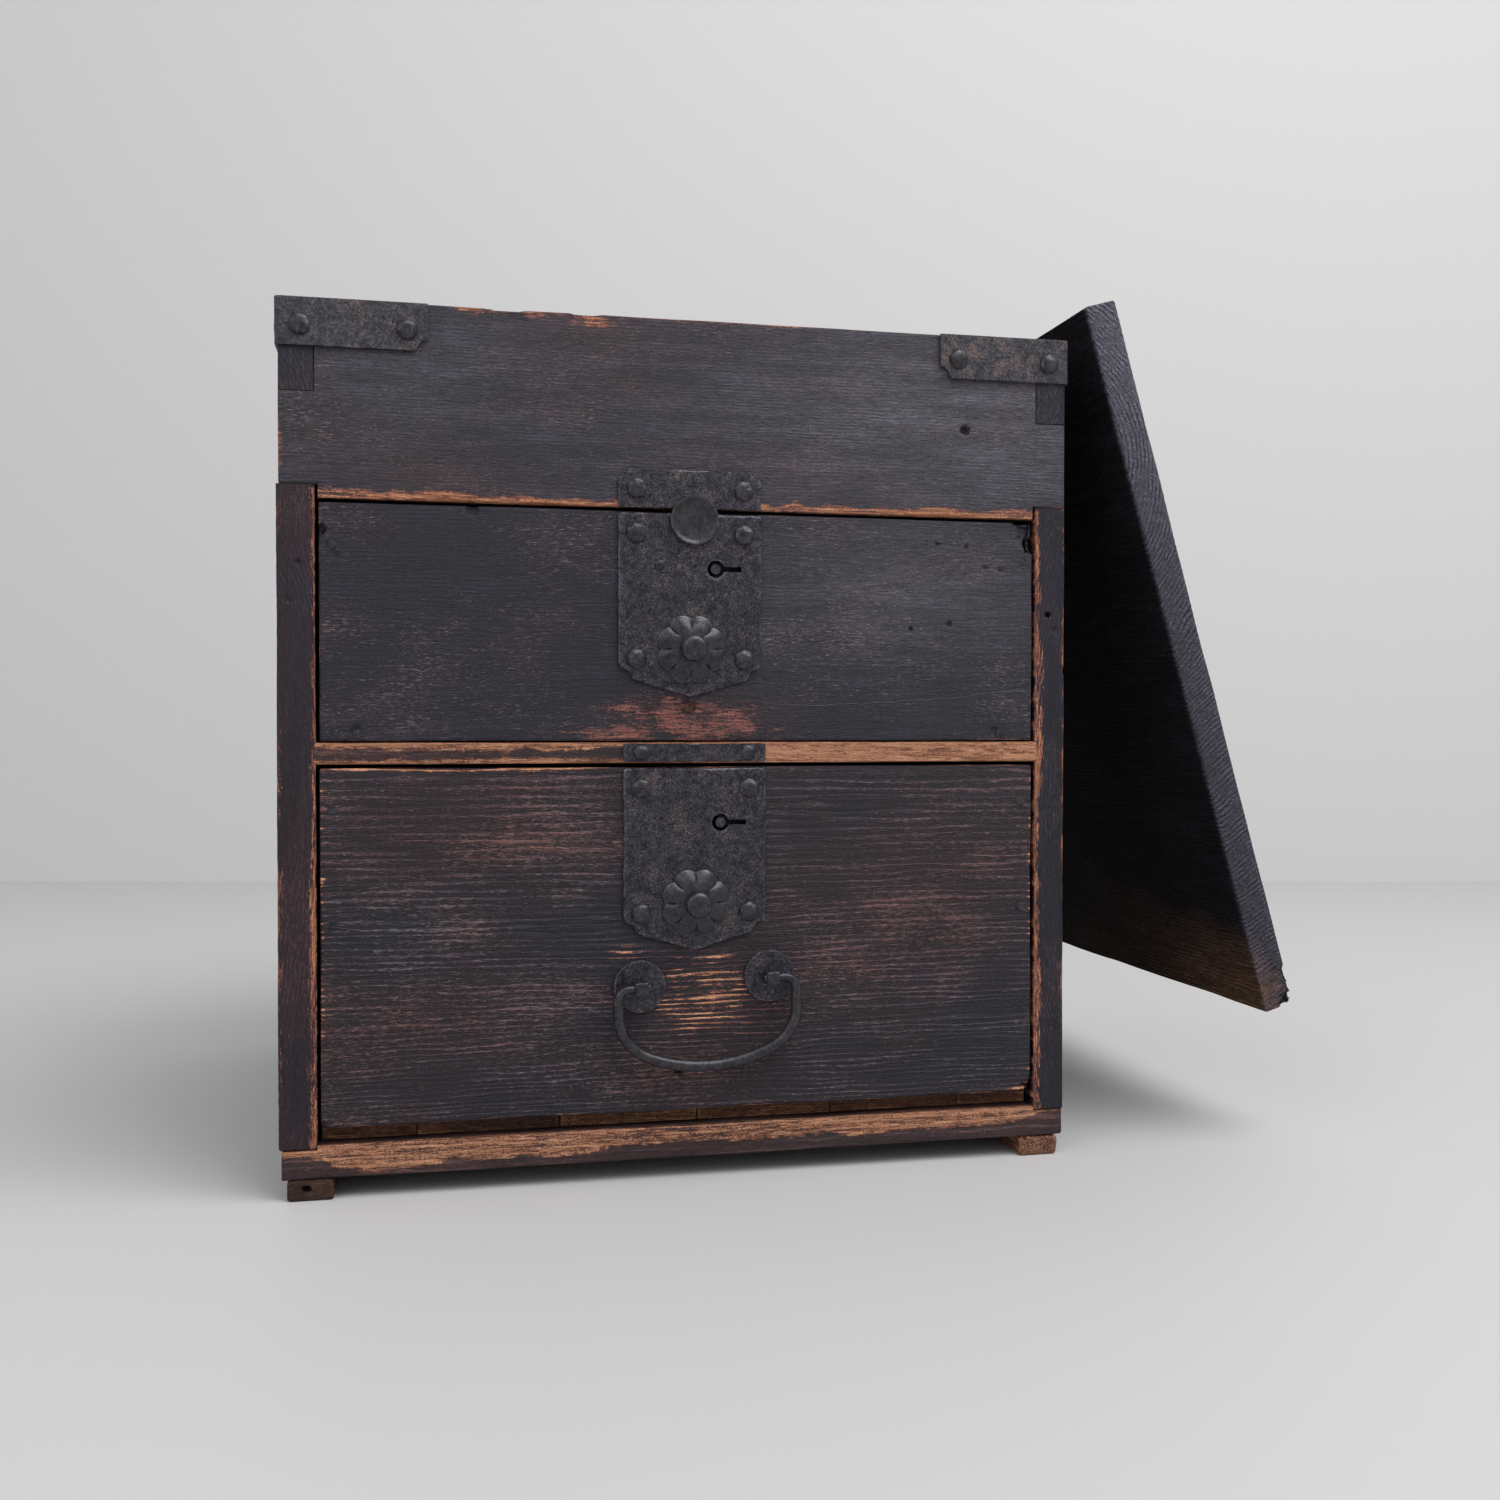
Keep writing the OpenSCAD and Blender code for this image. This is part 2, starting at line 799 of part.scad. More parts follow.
module drawer_back(span) {
    difference() {
        block([drawer_x[0] + drawer_side_t, drawer_x[1] - drawer_side_t],
            [drawer_back_y - drawer_back_t, drawer_back_y],
            [span[0] + drawer_bottom_t, span[1] - side_drop]);
        at_drawer_back_nails(span[0]) shank_bore(nail_l);
    }
}

module drawer_bottom(z, y) {
    difference() {
        for (i = [0 : slat_count - 1]) {
            x = slat_span(i);
            if (x[1] > x[0]) block(x, [y, drawer_back_y], [z, z + drawer_bottom_t]);
        }
        at_drawer_back_nails(z) flush_bore(nail_l);
    }
}

// room in a drawer front for its lock case, its bolt and its nails
module lock_room(lock, top) {
    translate([lock[0], 0, lock[1]]) {
        block([case_x[0] - pocket_gap, case_x[1] + pocket_gap], [-1, lock_case_d + pocket_gap],
            [-case_drop[1] - pocket_gap, -case_drop[0] + pocket_gap]);
        block([bolt_x - bolt_w / 2 - bolt_gap, bolt_x + bolt_w / 2 + bolt_gap],
            [bolt_y - bolt_gap, bolt_y + bolt_t + bolt_gap], [-case_drop[1], top]);
        facing_front(0, 0, -knob_drop) translate([0, 0, -front_t - 1])
            cylinder(r = knob_shank_r + nail_gap, h = front_t + 2);
    }
    at_plate_nails(lock) shank_bore(front_t - 3);
}

module upper_drawer_front() {
    color(black_wood) in_case() difference() {
        block(drawer_x, [0, front_t], upper_z);
        lock_room(upper_lock, 2);
        at_front_nails(upper_z) flush_bore(front_t + 1);
        at_base_nails() flush_bore(front_t + 1);
        at_disc() translate([0, 0, -disc_shank_l - 1])
            cylinder(r = disc_shank_r + nail_gap, h = disc_shank_l + 2);
        at_peg() translate([0, 0, -front_t - 1]) cylinder(r = peg_r, h = front_t + 2);
    }
}

module upper_drawer_left() {
    color(inner_wood) in_case() drawer_side(upper_z);
}

module upper_drawer_right() {
    color(inner_wood) in_case() on_right() drawer_side(upper_z);
}

module upper_drawer_back() {
    color(inner_wood) in_case() drawer_back(upper_z);
}

module upper_drawer_bottom() {
    color(inner_wood) in_case() difference() {
        drawer_bottom(upper_z[0], front_t);
        at_base_nails() shank_bore(front_t + nail_l);
    }
}

module upper_drawer_nails() {
    color(iron) in_case() {
        at_front_nails(upper_z) flush_nail(front_t + nail_l - 4);
        at_base_nails() flush_nail(front_t + nail_l - 4);
        at_drawer_back_nails(upper_z[0]) flush_nail(nail_l);
    }
}

module at_peg() {
    facing_front(upper_lock[0], 0, upper_lock[1] - plate_h - point_h - peg_drop) children();
}

module upper_drawer_peg() {
    color(bare_wood) in_case() at_peg() translate([0, 0, -front_t]) cylinder(r = peg_r, h = front_t);
}

module lower_drawer_front() {
    color(black_wood) in_case() difference() {
        block(drawer_x, [0, front_t], [lower_front_z, lower_z[1]]);
        lock_room(lower_lock, 2);
        at_front_nails(lower_z) flush_bore(front_t + 1);
        at_lower_lip_nails() shank_bore(nail_l);
        at_handle_pivots() rotate([90, 0, 0]) translate([0, 0, -eye_reach - rosette_t - front_t - 1])
            cylinder(r = eye_shank_r + nail_gap, h = front_t + 2);
    }
}

module lower_drawer_left() {
    color(inner_wood) in_case() drawer_side(lower_z);
}

module lower_drawer_right() {
    color(inner_wood) in_case() on_right() drawer_side(lower_z);
}

module lower_drawer_back() {
    color(inner_wood) in_case() drawer_back(lower_z);
}

module lower_drawer_bottom() {
    color(inner_wood) in_case() difference() {
        drawer_bottom(lower_z[0], bottom_recess);
        at_lower_lip_nails() flush_bore(nail_l);
    }
}

module lower_drawer_nails() {
    color(iron) in_case() {
        at_front_nails(lower_z) flush_nail(front_t + nail_l - 4);
        at_drawer_back_nails(lower_z[0]) flush_nail(nail_l);
        at_lower_lip_nails() flush_nail(nail_l);
    }
}

// locks; lock is the middle of the plate's top edge as [x, z]

module at_plate_nails(lock) {
    for (side = [-1, 1], drop = plate_nail_drops)
        facing_front(lock[0] + side * plate_nail_x, 0, lock[1] - drop) children();
}

module lock_plate(lock) {
    half = plate_w / 2;
    color(iron) in_case() difference() {
        facing_front(lock[0], 0, lock[1]) linear_extrude(plate_t) polygon([
            [-half, 0], [half, 0], [half, -plate_h + 0.5], [half - 4, -plate_h - 2.5],
            [half - 7, -plate_h - 7], [0, -plate_h - point_h], [-half + 7, -plate_h - 7],
            [-half + 4, -plate_h - 2.5], [-half, -plate_h + 0.5]
        ]);
        facing_front(lock[0] + keyhole[0], 1, lock[1] - keyhole[1]) {
            cylinder(r = keyhole_r, h = plate_t + 2);
            translate([0, -key_slot_h / 2, 0]) cube([key_slot_l, key_slot_h, plate_t + 2]);
        }
        facing_front(lock[0], 1, lock[1] - knob_drop)
            cylinder(r = knob_shank_r + nail_gap, h = plate_t + 2);
        at_plate_nails(lock) shank_bore(1);
        if (lock == upper_lock)
            at_disc() translate([0, 0, -1]) cylinder(r = disc_shank_r + nail_gap, h = plate_t + 2);
    }
}

module plate_nails(lock, rivet) {
    color(iron) in_case() {
        at_plate_nails(lock) translate([0, 0, plate_t])
            domed_nail(dome_r, dome_h, plate_t + front_t - 4);
        facing_front(lock[0] + rivet[0], -plate_t, lock[1] - rivet[1]) dome(rivet_r, rivet_h);
    }
}

// an open-fronted iron box behind the plate, with the key's post in it
module lock_case(lock) {
    color(iron) in_case() translate([lock[0], 0, lock[1]]) {
        difference() {
            block(case_x, [0, lock_case_d], [-case_drop[1], -case_drop[0]]);
            block([case_x[0] + lock_wall, case_x[1] - lock_wall], [-1, lock_case_d - lock_wall],
                [-case_drop[1] + lock_wall, -case_drop[0] - lock_wall]);
            block([bolt_x - bolt_w / 2 - bolt_gap, bolt_x + bolt_w / 2 + bolt_gap],
                [bolt_y - bolt_gap, bolt_y + bolt_t + bolt_gap],
                [-case_drop[0] - 2 * lock_wall, -case_drop[0] + 1]);
        }
        facing_front(keyhole[0], lock_case_d - lock_wall / 2, -keyhole[1])
            cylinder(r = key_post_r, h = lock_case_d - lock_wall / 2 + plate_t / 2);
    }
}

// a bolt with a wide foot that rests on the floor of its case
module lock_bolt(lock) {
    foot_z = -case_drop[1] + lock_wall + bolt_gap;
    color(iron) in_case() translate([lock[0] + bolt_x, 0, lock[1]]) {
        block([-bolt_foot[0] / 2, bolt_foot[0] / 2], [bolt_y, bolt_y + bolt_t],
            [foot_z, foot_z + bolt_foot[1]]);
        block([-bolt_w / 2, bolt_w / 2], [bolt_y, bolt_y + bolt_t], [foot_z, plate_drop - bolt_low]);
    }
}

// a flat flower with a notch at the top
module flower_washer(lock) {
    petal_r = washer_r * 0.32;
    color(iron) in_case() facing_front(lock[0], -plate_t, lock[1] - knob_drop) difference() {
        union() {
            cylinder(r = washer_r - petal_r, h = washer_t);
            for (i = [0 : petals - 1])
                rotate([0, 0, 90 + (i + 0.5) * 360 / petals])
                    translate([washer_r - petal_r, 0, 0]) cylinder(r = petal_r, h = washer_t);
        }
        translate([0, 0, -1]) cylinder(r = knob_shank_r + nail_gap, h = washer_t + 2);
    }
}

// a stud with a domed head, riveted over behind the drawer front
module knob(lock) {
    neck_l = knob_l * 0.55;
    back = plate_t + washer_t + front_t;
    color(iron) in_case() facing_front(lock[0], -plate_t - washer_t, lock[1] - knob_drop) {
        cylinder(r = knob_r * 0.85, h = neck_l + 1);
        translate([0, 0, neck_l]) dome(knob_r, knob_l - neck_l);
        translate([0, 0, -back]) cylinder(r = knob_shank_r, h = back + 1);
        translate([0, 0, -back - 1.5]) cylinder(r = knob_shank_r + 2, h = 1.5);
    }
}

module upper_lock_plate() {
    lock_plate(upper_lock);
}

module lower_lock_plate() {
    lock_plate(lower_lock);
}

module upper_plate_nails() {
    plate_nails(upper_lock, upper_rivet);
}

module lower_plate_nails() {
    plate_nails(lower_lock, lower_rivet);
}

module upper_lock_case() {
    lock_case(upper_lock);
}

module lower_lock_case() {
    lock_case(lower_lock);
}

module upper_bolt() {
    lock_bolt(upper_lock);
}

module lower_bolt() {
    lock_bolt(lower_lock);
}

module upper_knob_washer() {
    flower_washer(upper_lock);
}

module lower_knob_washer() {
    flower_washer(lower_lock);
}

module upper_knob() {
    knob(upper_lock);
}

module lower_knob() {
    knob(lower_lock);
}

module at_disc() {
    facing_front(upper_lock[0] + disc_at[0], 0, upper_lock[1] - disc_at[1]) children();
}

// a dished disc that laps over the keeper and stops the upper drawer
module stop_disc() {
    color(iron) in_case() at_disc() {
        translate([0, 0, plate_t + disc_gap]) difference() {
            cylinder(r = disc_r, h = disc_t);
            translate([0, 0, disc_t - 1]) cylinder(r1 = disc_r - 4, r2 = disc_r - 1.6, h = 1.01);
        }
        translate([0, 0, plate_t]) cylinder(r = 2 * disc_shank_r, h = disc_gap + disc_t / 2);
        translate([0, 0, -disc_shank_l]) cylinder(r = disc_shank_r, h = disc_shank_l + plate_t + 1);
    }
}

// the handle, in its own sloping frame about the middle of its pivots

module on_handle() {
    translate(handle_at) rotate([0, -handle_slope, 0]) children();
}

module at_handle_pivots() {
    on_handle() for (side = [-1, 1]) translate([side * pivot_x, 0, 0]) children();
}

module handle_rosettes() {
    color(iron) in_case() at_handle_pivots() rotate([90, 0, 0]) difference() {
        translate([0, 0, -eye_reach - rosette_t]) cylinder(r = rosette_r, h = rosette_t);
        translate([0, 0, -eye_reach - 2 * rosette_t])
            cylinder(r = eye_shank_r + nail_gap, h = 3 * rosette_t);
    }
}

module handle_eyes() {
    color(iron) in_case() at_handle_pivots() difference() {
        union() {
            translate([-eye_w / 2, -eye_w / 2, -eye_w / 2])
                cube([eye_w, eye_w / 2 + eye_reach, eye_w]);
            rotate([90, 0, 0]) translate([0, 0, -eye_reach - rosette_t - front_t])
                cylinder(r = eye_shank_r, h = rosette_t + front_t + 1);
        }
        translate([-eye_w, 0, 0]) rotate([0, 90, 0])
            cylinder(r = pivot_r + pivot_gap, h = 2 * eye_w);
    }
}

// a bend of the rod about c = [x, z], from angle a to angle b, swelling a little at both ends
module bend(c, r, a, b) {
    translate([c[0], 0, c[1]]) rotate([90, -a, 0]) {
        rotate_extrude(angle = b - a) translate([r, 0]) circle(rod_r);
        translate([r, 0, 0]) sphere(rod_r + rod_swell);
        rotate([0, 0, b - a]) translate([r, 0, 0]) sphere(rod_r + rod_swell);
    }
}

module half_bail() {
    translate([pivot_x - eye_w / 2 - 2 * shoulder, 0, 0]) rotate([0, 90, 0])
        cylinder(r = pivot_r, h = bend_x - pivot_x + eye_w / 2 + 2 * shoulder);
    bend([bend_x, -corner_r], corner_r, 0, 90);
    translate([bend_x + corner_r, 0, -corner_r - flank]) cylinder(r = rod_r, h = flank);
    bend(turn_c, turn_r, -turn_angle, 0);
}

module handle_bail() {
    color(iron) in_case() on_handle() {
        half_bail();
        mirror([1, 0, 0]) half_bail();
        bend([0, belly_z], belly_r, turn_angle - 180, -turn_angle);
    }
}

foot_left();
foot_right();
bottom_board();
bottom_nails();
side_left();
side_right();
side_nails();
top_front_board();
top_back_board();
back_board_upper();
back_board_lower();
tray_floor();
drawer_rail();
runner_left();
runner_right();
corner_iron_front_left();
corner_iron_front_right();
corner_iron_back_left();
corner_iron_back_right();
corner_iron_nails();
upper_keeper();
lower_keeper();
keeper_nails();
hinge_side_leaves();
hinge_pins();
hinge_side_nails();
upper_drawer_front();
upper_drawer_left();
upper_drawer_right();
upper_drawer_back();
upper_drawer_bottom();
upper_drawer_nails();
upper_drawer_peg();
upper_lock_plate();
upper_plate_nails();
upper_lock_case();
upper_bolt();
upper_knob_washer();
upper_knob();
stop_disc();
lower_drawer_front();
lower_drawer_left();
lower_drawer_right();
lower_drawer_back();
lower_drawer_bottom();
lower_drawer_nails();
lower_lock_plate();
lower_plate_nails();
lower_lock_case();
lower_bolt();
lower_knob_washer();
lower_knob();
handle_rosettes();
handle_eyes();
handle_bail();
lid_board();
hinge_lid_leaves();
hinge_lid_nails();
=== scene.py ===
import math

import bpy
import numpy as np
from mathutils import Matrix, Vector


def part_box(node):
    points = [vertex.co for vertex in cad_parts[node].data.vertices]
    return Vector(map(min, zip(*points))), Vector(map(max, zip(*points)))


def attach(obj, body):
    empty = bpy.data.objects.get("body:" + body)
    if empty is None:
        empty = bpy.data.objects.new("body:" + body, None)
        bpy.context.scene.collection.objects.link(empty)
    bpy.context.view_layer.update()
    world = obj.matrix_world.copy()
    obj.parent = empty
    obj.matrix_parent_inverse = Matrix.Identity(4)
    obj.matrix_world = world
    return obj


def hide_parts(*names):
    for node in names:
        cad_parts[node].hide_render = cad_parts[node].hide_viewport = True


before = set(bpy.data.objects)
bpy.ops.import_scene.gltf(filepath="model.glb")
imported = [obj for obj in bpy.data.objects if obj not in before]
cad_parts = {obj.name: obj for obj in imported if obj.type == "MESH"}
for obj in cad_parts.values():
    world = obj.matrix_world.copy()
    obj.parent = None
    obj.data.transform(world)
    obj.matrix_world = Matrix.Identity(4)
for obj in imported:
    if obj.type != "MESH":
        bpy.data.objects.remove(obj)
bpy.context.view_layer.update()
scene = bpy.context.scene
mm = 0.001  # one millimetre in metres
caseCorner = np.array([*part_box("side_left")[0][:2], 0]) / mm  # front left corner on the floor
print("frame:", len(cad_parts), "nodes, case corner at", caseCorner.round(2), "mm")


# Meshes. Every shape is worked out in mm from the case's front left corner on the floor.

def nodeBox(node):
    # lowest and highest corner of a CAD node
    return [np.array(corner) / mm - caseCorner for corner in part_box(node)]


def standOut(mesh):
    # how far each point stands out from the middle of its neighbours, as a share of their distance: 0 on a
    # flat face and 1 on a sharp arris
    count = len(mesh.vertices)
    points, normals, ends = np.zeros(count * 3), np.zeros(count * 3), np.zeros(len(mesh.edges) * 2, np.int32)
    mesh.vertices.foreach_get("co", points)
    mesh.vertex_normals.foreach_get("vector", normals)
    mesh.edges.foreach_get("vertices", ends)
    points, normals, ends = points.reshape(-1, 3), normals.reshape(-1, 3), ends.reshape(-1, 2)
    total, share = np.zeros((count, 3)), np.zeros(count)
    for here, there in ((0, 1), (1, 0)):
        step = points[ends[:, there]] - points[ends[:, here]]
        length = np.linalg.norm(step, axis=1)
        np.add.at(total, ends[:, here], step / np.maximum(length, 1e-9)[:, None])
        np.add.at(share, ends[:, here], 1)
    outwards = -(total * normals).sum(1) / np.maximum(share, 1)
    return smoothStep(outwards, 0.04, 0.3)


creaseAngle = 45  # degrees, past which an edge is shaded sharp


def makePiece(name, shape, body, finish, replaced=(), layers=None):
    # shape is (points, [arrays of 3 or 4 corners]); layers are named values for each point, and ironwork gets
    # one that is high where it is rubbed
    points, faces = shape
    mesh = bpy.data.meshes.new(name)
    mesh.vertices.add(len(points))
    mesh.vertices.foreach_set("co", ((points + caseCorner) * mm).astype(np.float32).ravel())
    counts = np.concatenate([np.full(len(part), part.shape[1]) for part in faces])
    corners = np.concatenate([part.ravel() for part in faces])
    mesh.loops.add(len(corners))
    mesh.loops.foreach_set("vertex_index", corners.astype(np.int32))
    mesh.polygons.add(len(counts))
    starts = np.cumsum(counts) - counts
    mesh.polygons.foreach_set("loop_start", starts.astype(np.int32))
    mesh.update(calc_edges=True)
    mesh.validate()
    for layer, values in (layers or {"rubbed": standOut(mesh)}).items():
        kind, field = ("FLOAT_VECTOR", "vector") if values.ndim == 2 else ("FLOAT", "value")
        attribute = mesh.attributes.new(layer, kind, "POINT")
        attribute.data.foreach_set(field, values.astype(np.float32).ravel())
    mesh.shade_smooth()
    mesh.set_sharp_from_angle(angle=math.radians(creaseAngle))
    mesh.materials.append(finish)
    piece = bpy.data.objects.new(name, mesh)
    scene.collection.objects.link(piece)
    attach(piece, body)
    if replaced:
        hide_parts(*replaced)
    return piece


def joined(shapes):
    # several shapes as one
    points, faces, start = [], [], 0
    for part, partFaces in shapes:
        points.append(part)
        faces += [face + start for face in partFaces]
        start += len(part)
    return np.vstack(points), faces


def softNoise(points, size, seed):
    # value noise from -1 to 1: hashed values at the corners of cells of that size, blended with a smooth
    # step; the large primes of the hash keep neighbouring corners apart
    cell = np.asarray(points, float) / size + 1000
    base = np.floor(cell).astype(np.int64)
    part = cell - base
    part = part * part * (3 - 2 * part)
    total = np.zeros(len(cell))
    for corner in np.ndindex(2, 2, 2):
        place = base + corner
        mixed = place[:, 0] * 73856093 ^ place[:, 1] * 19349663 ^ place[:, 2] * 83492791 ^ seed * 2654435761
        mixed = (mixed ^ (mixed >> 13)) * 1274126177 & 0xFFFFFFFF
        mixed = mixed ^ (mixed >> 16)
        total += np.prod(np.where(corner, part, 1 - part), axis=1) * (mixed & 0xFFFF) / 0xFFFF
    return 2 * total - 1


def smoothStep(values, low, high):
    t = np.clip((values - low) / (high - low), 0, 1)
    return t * t * (3 - 2 * t)


def blockSkin(lines):
    # closed skin of a block that is cut by lines along x, y and z: the lattice points of its six faces,
    # shared along the edges, in quads that face outwards
    counts = [len(line) for line in lines]
    faces = []
    for axis in range(3):
        a, b = (axis + 1) % 3, (axis + 2) % 3
        i, j = np.meshgrid(np.arange(counts[a]), np.arange(counts[b]), indexing="ij")
        for end in (0, counts[axis] - 1):
            place = [None, None, None]
            place[axis], place[a], place[b] = np.full_like(i, end), i, j
            flat = np.ravel_multi_index(place, counts)
            quad = [flat[:-1, :-1], flat[1:, :-1], flat[1:, 1:], flat[:-1, 1:]]
            faces.append(np.stack(quad if end else quad[::-1], -1).reshape(-1, 4))
    used, quads = np.unique(np.concatenate(faces), return_inverse=True)
    place = np.unravel_index(used, counts)
    points = np.stack([line[index] for line, index in zip(lines, place)], 1)
    return points, quads.reshape(-1, 4)


def loopSkin(rows, closed=False):
    # rows of equally many points: quads run round each row and join it to the next. closed joins the last
    # row to the first, and otherwise a pole in the middle closes each end
    count, around = rows.shape[:2]
    index = np.arange(count * around).reshape(count, around)
    beside = np.roll(index, -1, axis=1)
    quads = np.stack([index, beside, np.roll(beside, -1, axis=0), np.roll(index, -1, axis=0)], -1)
    points = rows.reshape(-1, 3)
    if closed:
        return points, [quads.reshape(-1, 4)]
    poles = np.array([rows[0].mean(0), rows[-1].mean(0)])
    first, last = np.full(around, len(points)), np.full(around, len(points) + 1)
    fans = np.vstack([np.stack([beside[0], index[0], first], -1),
                      np.stack([index[-1], beside[-1], last], -1)])
    return np.vstack([points, poles]), [quads[:-1].reshape(-1, 4), fans]


def latticeLines(low, high, cell, arris, steps=(), marks=()):
    # lines along one axis: three inside each arris, then about a cell apart, closer round the marks, which
    # are (place, reach), and two together at a step
    hair, closeCell, tooNear = 0.02, 0.7, 0.35
    inner = np.linspace(low + arris, high - arris, max(2, round((high - low - 2 * arris) / cell) + 1))
    edge = arris * np.array([0, 0.3, 0.65])
    lines = np.concatenate([low + edge, inner, high - edge])
    for place, reach in marks:
        near = np.linspace(place - reach, place + reach, 2 * math.ceil(reach / closeCell) + 1)
        near = near[(near > low + arris) & (near < high - arris)]
        far = np.abs(lines[:, None] - near).min(1, initial=cell) > tooNear
        lines = np.concatenate([lines[far | (lines < low + arris) | (lines > high - arris)], near])
    for step in steps:
        lines = lines[np.abs(lines - step) > 4 * hair]
        lines = np.append(lines, [step - hair, step + hair])
    return np.unique(np.clip(lines, low, high))


def rounded(points, low, high, radius):
    # the block's skin with its edges rounded: a point moves to the given radius round the nearest point of
    # the block shrunk by that radius; also gives the outward direction
    core = np.clip(points, low + radius, high - radius)
    away = points - core
    away /= np.maximum(np.linalg.norm(away, axis=1, keepdims=True), 1e-9)
    return core + away * radius, away


# Materials

def linearColour(hexCode):
    # sRGB hex to linear
    parts = [int(hexCode[i:i + 2], 16) / 255 for i in (1, 3, 5)]
    return (*[c / 12.92 if c <= 0.04045 else ((c + 0.055) / 1.055) ** 2.4 for c in parts], 1)


def addNode(tree, kind, inputs=None, **settings):
    # adds a node with its settings; an input given as a socket is linked, and any other is a value
    node = tree.nodes.new(kind)
    for name, value in settings.items():
        setattr(node, name, value)
    for key, value in (inputs or {}).items():
        if isinstance(value, bpy.types.NodeSocket):
            tree.links.new(value, node.inputs[key])
        else:
            node.inputs[key].default_value = value
    return node


def newMaterial(name):
    material = bpy.data.materials.new(name)
    material.use_nodes = True
    tree = material.node_tree
    tree.nodes.clear()
    shader = addNode(tree, "ShaderNodeBsdfPrincipled")
    addNode(tree, "ShaderNodeOutputMaterial", {"Surface": shader.outputs["BSDF"]})
    return material, tree, shader


def combine(tree, operation, *values):
    return addNode(tree, "ShaderNodeMath", dict(enumerate(values)), operation=operation).outputs[0]


def addShare(tree, value, share, total):
    # total + value x share
    return combine(tree, "MULTIPLY_ADD", value, share, total)


def centred(tree, noise):
    # a noise from 0 to 1, moved to lie round 0
    return combine(tree, "SUBTRACT", noise, 0.5)


def blendColours(tree, share, first, second, mode="MIX"):
    node = addNode(tree, "ShaderNodeMix", {0: share, 6: first, 7: second}, data_type="RGBA", blend_type=mode)
    return node.outputs[2]


def toned(tree, colour, tone):
    return blendColours(tree, 1.0, colour, tone, "MULTIPLY")


def patternNoise(tree, vector, scale, detail, roughness):
    # scale is (along, across, through) in cells per metre
    cells = addNode(tree, "ShaderNodeMapping", {"Vector": vector, "Scale": scale}).outputs[0]
    return addNode(tree, "ShaderNodeTexNoise", {"Vector": cells, "Scale": 1.0, "Detail": detail,
                                                "Roughness": roughness}).outputs[0]


def toneRamp(tree, value, *stops):
    # a colour ramp whose stops are (place, grey or hex colour)
    node = addNode(tree, "ShaderNodeValToRGB", {"Fac": value})
    ramp = node.color_ramp
    while len(ramp.elements) < len(stops):
        ramp.elements.new(0.5)
    for element, (place, colour) in zip(ramp.elements, stops):
        element.position = place
        element.color = linearColour(colour) if isinstance(colour, str) else (colour, colour, colour, 1)
    return node.outputs["Color"]


def pointLayer(tree, name, output="Fac"):
    return addNode(tree, "ShaderNodeAttribute", attribute_name=name).outputs[output]


# what a board's points tell its material: the count of year rings, how far the lines, splinters, wear, stain,
# warmth, dust with its painted sheen and the painted shade of dents show, and the distance from a crack
woodLayers = ("rings", "lines", "splinters", "wear", "stained", "warmth", "dust", "shade", "crack")


